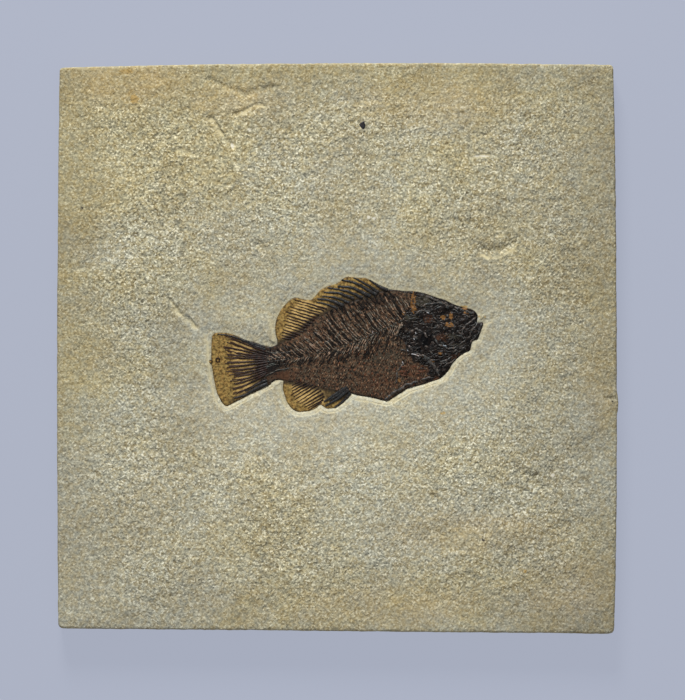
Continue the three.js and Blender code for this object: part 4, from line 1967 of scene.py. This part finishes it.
    def build_slivers(self, body: FishBody) -> None:
        """Builds the broken slivers of bone that crowd the head.

        Args:
            body: the body that they lie on.
        """
        random = np.random.default_rng(71)
        places = scatter_grid(body.loop, self.sliver_pitch, 1.0, seed=19)
        places = places[body.headness(places) > 0.6]
        away = np.linalg.norm(places - np.array(self.eye), axis=1)
        deep = np.linalg.norm(places - np.array(self.hollow), axis=1)
        places = places[(away > self.eye_radius + self.eye_clear) & (deep > self.hollow_radius)]
        lines = []
        for place in places:
            lean = self.sliver_lean + random.normal(0.0, self.sliver_stray)
            half = random.uniform(0.6, 1.7)
            heading = np.array((math.cos(lean), math.sin(lean)))
            bend = np.array((-heading[1], heading[0])) * random.normal(0.0, 0.3)
            share = np.linspace(-1.0, 1.0, 5)[:, None]
            drawn = place + heading * half * share + bend * (1.0 - share * share)
            drawn = drawn[is_inside(drawn, body.loop)]
            if len(drawn) >= LEAST_POINTS:
                lines.append(body.lay(drawn, random.uniform(-0.1, 0.3)))
        girths = random.uniform(0.6, 1.4, len(lines)).tolist()
        sweep("skull_slivers", lines, *self.sliver_radii, Bone.SKULL, girths=girths, wobble=1.2)


@dataclass
class TailGrains:
    """The small ring and the bead that lie on the tail's edge."""

    ring_at: Pair = (-59.9, -5.8)
    ring_radius: float = 1.0
    bead_at: Pair = (-63.6, -6.7)
    bead_radius: float = 0.75

    def build(self, plan: FishPlan) -> None:
        """Builds the ring, and the bead with its dark rim.

        Args:
            plan: where the fish lies.
        """
        turn = np.linspace(0.0, 1.9 * np.pi, 22)
        circle = np.column_stack([np.cos(turn), np.sin(turn)])
        lines = []
        for centre, radius in ((self.ring_at, self.ring_radius), (self.bead_at, self.bead_radius)):
            lines.append(plan.lay(np.array(centre) + circle * radius, 0.25))
        sweep("tail_grains", lines, 0.36, 0.3, Bone.RAY, wobble=0.2)
        size = (2.0 * self.bead_radius, 1.8 * self.bead_radius, 1.2)
        lone_grain("tail_bead", plan.lay(np.array([self.bead_at]), 0.3), size, Bone.FIN_SKIN)


@dataclass
class Fleck:
    """The black fragment of bone sunk in the face near the top edge."""

    outline: Array
    spacing: float = 0.35
    sunk: float = 0.8

    def build(self, face: float) -> None:
        """Builds the fragment.

        Args:
            face: height of the slab's face.
        """
        loop = evenly(closed(self.outline), self.spacing)[:-1]
        inner = scatter_grid(loop, self.spacing, 0.2, seed=18)
        flat = np.vstack([loop, inner])
        inward = nearest_on(flat, closed(loop))[0]
        top = face + 0.05 + 0.4 * (1.0 - np.exp(-inward / 0.7))
        tints = {Tint.ROUGH: np.ones(len(flat))}
        piece = plate("bone_fleck", loop, inner, top, face - self.sunk, tints)
        relief = Relief(grain=(1.0, 0.5), lump=(2.0, 0.5), swell=(9.0, 0.1))
        relief.apply(piece, bone_material(Bone.BLACK))
        settle(piece, Slot.BLACK_BONE, "fleck")


@dataclass
class Studio:
    """The pale floor, the soft light from beyond the top edge, and the camera above the face."""

    floor_half: float = 3.0
    view_centre: Pair = (2.43, -0.85)
    view_height: float = 350.0
    camera_height: float = 1600.0
    sensor: float = 36.0

    def build(self, face: float) -> None:
        """Builds floor, lights, world and camera.

        Args:
            face: height of the slab's face.
        """
        self.build_floor()
        self.build_lights()
        camera = bpy.data.objects.new("camera", bpy.data.cameras.new("camera"))
        bpy.context.scene.collection.objects.link(camera)
        camera.location = [part * MM for part in (*self.view_centre, self.camera_height + face)]
        camera.data.sensor_width = self.sensor
        camera.data.lens = self.sensor * self.camera_height / self.view_height
        camera.data.clip_end = 50.0
        bpy.context.scene.camera = camera
        bpy.context.scene.view_settings.view_transform = "Standard"

    def build_floor(self) -> None:
        """Builds the pale floor."""
        half = self.floor_half / MM
        corners = np.array([(-half, -half, 0), (half, -half, 0), (half, half, 0), (-half, half, 0)])
        floor = mesh_piece("floor", corners, np.array([(0, 1, 2, 3)]))
        material, _, shader = new_material("pale_floor")
        shader.inputs["Base Color"].default_value = seen(62, 64, 70)
        shader.inputs["Roughness"].default_value = 0.8
        shader.inputs["Emission Color"].default_value = seen(162, 168, 185)
        shader.inputs["Emission Strength"].default_value = 1.0
        floor.data.materials.append(material)

    def build_lights(self) -> None:
        """Builds the key light, the fill light and the even surrounding light."""
        for name, place, size, power in (
            ("key_light", (-0.25, 1.6, 0.95), 0.6, 40.5),
            ("fill_light", (0.0, -0.5, 1.6), 1.6, 4.6),
        ):
            data = bpy.data.lights.new(name, "AREA")
            data.shape = "DISK"
            data.size = size
            data.energy = power
            lamp = bpy.data.objects.new(name, data)
            bpy.context.scene.collection.objects.link(lamp)
            lamp.location = place
            lamp.rotation_euler = (-lamp.location).to_track_quat("-Z", "Y").to_euler()
        world = bpy.data.worlds.new("studio")
        world.use_nodes = True
        background = world.node_tree.nodes["Background"]
        background.inputs["Color"].default_value = seen(236, 240, 250)
        background.inputs["Strength"].default_value = 0.25
        bpy.context.scene.world = world


DORSAL_FIN = Fin(
    name="dorsal_fin",
    root=(
        (24.7, 29.4), (21.2, 28.1), (17.2, 26.4), (12.2, 24.9), (7.2, 23.7), (2.2, 22.4), (-1.8, 20.9),
        (-5.8, 18.4), (-9.8, 15.9), (-13.8, 13.2), (-16.8, 10.4), (-19.8, 7.7), (-25.3, 4.7), (-30.3, 1.9),
    ),
    tuck=(0.6, -1.6),
    dark_run=2.6,
    shades=(Patches(Tint.DARK, ((19, 29.4, 5, 2, 0.6), (2, 24, 5, 2, 0.8))),),
    fans=(
        Strokes(
            paths=(
                ((15.1, 34.6), (20.1, 31.3), (24.8, 29)),
                ((8, 35.2), (13.9, 32.3), (20.4, 28)),
                ((1.8, 34.4), (9.7, 32.3), (15.1, 29.2), (19.4, 26.8)),
                ((-1.5, 31.5), (6, 30.7), (11.4, 28.4), (16.4, 26)),
                ((-5.2, 30.4), (2.7, 29), (8, 27.3), (12.4, 25.2)),
                ((-6.9, 28), (0.2, 27.5), (8.2, 24.9)),
                ((-8.9, 26.3), (-1.5, 25.5), (5.7, 22.8)),
                ((-10.2, 24.8), (-4, 24), (2.8, 21.5)),
                ((-11.4, 23.2), (-6.5, 22.4), (-0.1, 19.9)),
            ),
            root_radius=0.98, tip_radius=0.38, kind=RayKind.SPINE,
        ),
        Fan(
            roots=((-5.4, 19.7), (-9.4, 16.6), (-12.4, 13), (-15.2, 10), (-18.6, 7), (-23.2, 4.4)),
            tips=((-22, 24.4), (-24.9, 21.2), (-26.7, 16.9), (-27.7, 12.6), (-28.3, 8.7), (-28.3, 5.2)),
            count=15, root_radius=0.5, tip_radius=0.21,
        ),
    ),
)
TAIL_FIN = Fin(
    name="tail_fin",
    root=((-35.8, 0.8), (-37, -3), (-37.4, -8), (-37, -13), (-34.8, -18.1)),
    tuck=(1.8, 0.0),
    dark_run=9.5,
    dark_edge=3.2,
    fans=(
        Strokes(
            paths=(
                ((-56, 5.6), (-50.6, 3.8), (-45.1, 1.7), (-36, -1.6)),
                ((-55.4, 3.5), (-49.4, 1.1), (-44.5, -0.5), (-35, -3)),
                ((-56.9, 0.5), (-49.4, -0.8), (-42.7, -2.3), (-34, -4.4)),
                ((-56.3, -1.1), (-49.4, -2.6), (-36, -4)),
                ((-56.4, -3.1), (-48.6, -3.7), (-36, -4.8)),
                ((-56.6, -5), (-48.1, -4.9), (-34, -5.6)),
                ((-56.6, -7.2), (-48.1, -6.9), (-34.6, -6.2)),
                ((-56.3, -9.3), (-48.1, -8.7), (-34.6, -7)),
                ((-56, -11.4), (-47.5, -10.8), (-35, -8.2)),
                ((-54.2, -12.9), (-46.9, -12.3), (-35, -9.2)),
                ((-53.4, -14.4), (-45.3, -13.2), (-35, -10.2)),
                ((-53.6, -16), (-46.9, -15.4), (-35, -11.2)),
                ((-53, -18.4), (-45.7, -16.4), (-35, -12.2)),
                ((-53, -20.5), (-46.6, -18.7), (-35.6, -13)),
                ((-53.3, -23.2), (-46.9, -21.2), (-36, -15)),
            ),
            root_radius=0.62, tip_radius=0.26, forked=True,
        ),
        Strokes(
            paths=(
                ((-61, 7.5), (-54.2, 6.3), (-46.9, 3.9), (-36.6, 0.6)),
                ((-54, -26), (-47.5, -24), (-42.1, -20.9), (-35, -17.6)),
                ((-49, 4.2), (-43, 1.9), (-36.2, -0.6)),
                ((-47, -22), (-41, -18.4), (-35.4, -15.8)),
            ),
            root_radius=1.0, tip_radius=0.35, kind=RayKind.SPINE,
        ),
    ),
)
ANAL_FIN = Fin(
    name="anal_fin",
    root=((-27.1, -16.5), (-20.3, -17.7), (-14.3, -19.2), (-7.3, -20.6), (-0.3, -21.8), (7.2, -22.6)),
    tuck=(0.4, 1.6),
    dark_run=1.6,
    shades=(Patches(Tint.DARK, ((-3.4, -23, 6, 2.6, 0.85), (2, -24, 4, 2, 0.9))),),
    fans=(
        Strokes(
            paths=(
                ((-7.6, -27.3), (-2, -23.6), (4.4, -19.6)),
                ((-6, -28.7), (0, -25.2), (5.6, -20.6)),
                ((-1.6, -29.6), (3.2, -26.2), (6.2, -22.2)),
                ((-5, -26.8), (0.6, -23), (4.8, -19.2)),
            ),
            root_radius=1.1, tip_radius=0.42, kind=RayKind.SPINE,
        ),
        Fan(
            roots=((-8, -27), (-6.6, -24.6), (-7.8, -21.6), (-10.8, -19), (-15.2, -17.4), (-18.8, -16.5)),
            tips=(
                (-14.4, -31), (-18.6, -29.4), (-22.2, -27.8), (-23.6, -24.7), (-23.8, -21.5), (-23.2, -18.9),
            ),
            count=12, root_radius=0.5, tip_radius=0.21,
        ),
    ),
)


def build_fish(plan: FishPlan) -> None:
    """Builds the fish: fins, body, bones, scales and skull.

    Args:
        plan: where the fish lies.
    """
    loop = plan.outline
    for fin in (DORSAL_FIN, TAIL_FIN, ANAL_FIN):
        loop, edge = split_loop(loop, curve_through(fin.root, 0.6))
        fin.build_skin(edge, plan)
        fin.build_rays(plan)
    body = FishBody(loop, plan)
    body.build()
    skeleton = Skeleton()
    skeleton.build(body)
    ScaleCover().build(body, skeleton.backbone)
    rusty = ScaleCover("rust_scales", Bone.RUSTY, seed=62, pitch=3.1, length=1.8, width=0.6, missing=0.5)
    rusty.build(body, skeleton.backbone)
    Skull().build(body)
    TailGrains().build(plan)


def main() -> None:
    """Builds the slab, the fish, the fragment and the studio around the frame."""
    logging.basicConfig(level=logging.INFO, format="%(message)s")
    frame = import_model()
    nodes = frame["nodes"]
    slab_low, slab_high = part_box("slab")
    face = slab_high.z / MM
    plan = FishPlan(bottom_loop(nodes["fish"]), face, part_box("fish")[0].z / MM)
    edge_break = bottom_loop(nodes["slab"])
    outline = offset_loop(edge_break, edge_break[:, 0].min() - slab_low.x / MM)
    Slab(outline, face).build(plan, LimestoneFinish())
    build_fish(plan)
    Fleck(bottom_loop(nodes["fleck"])).build(face)
    Studio().build(face)


if __name__ == "__main__":
    main()
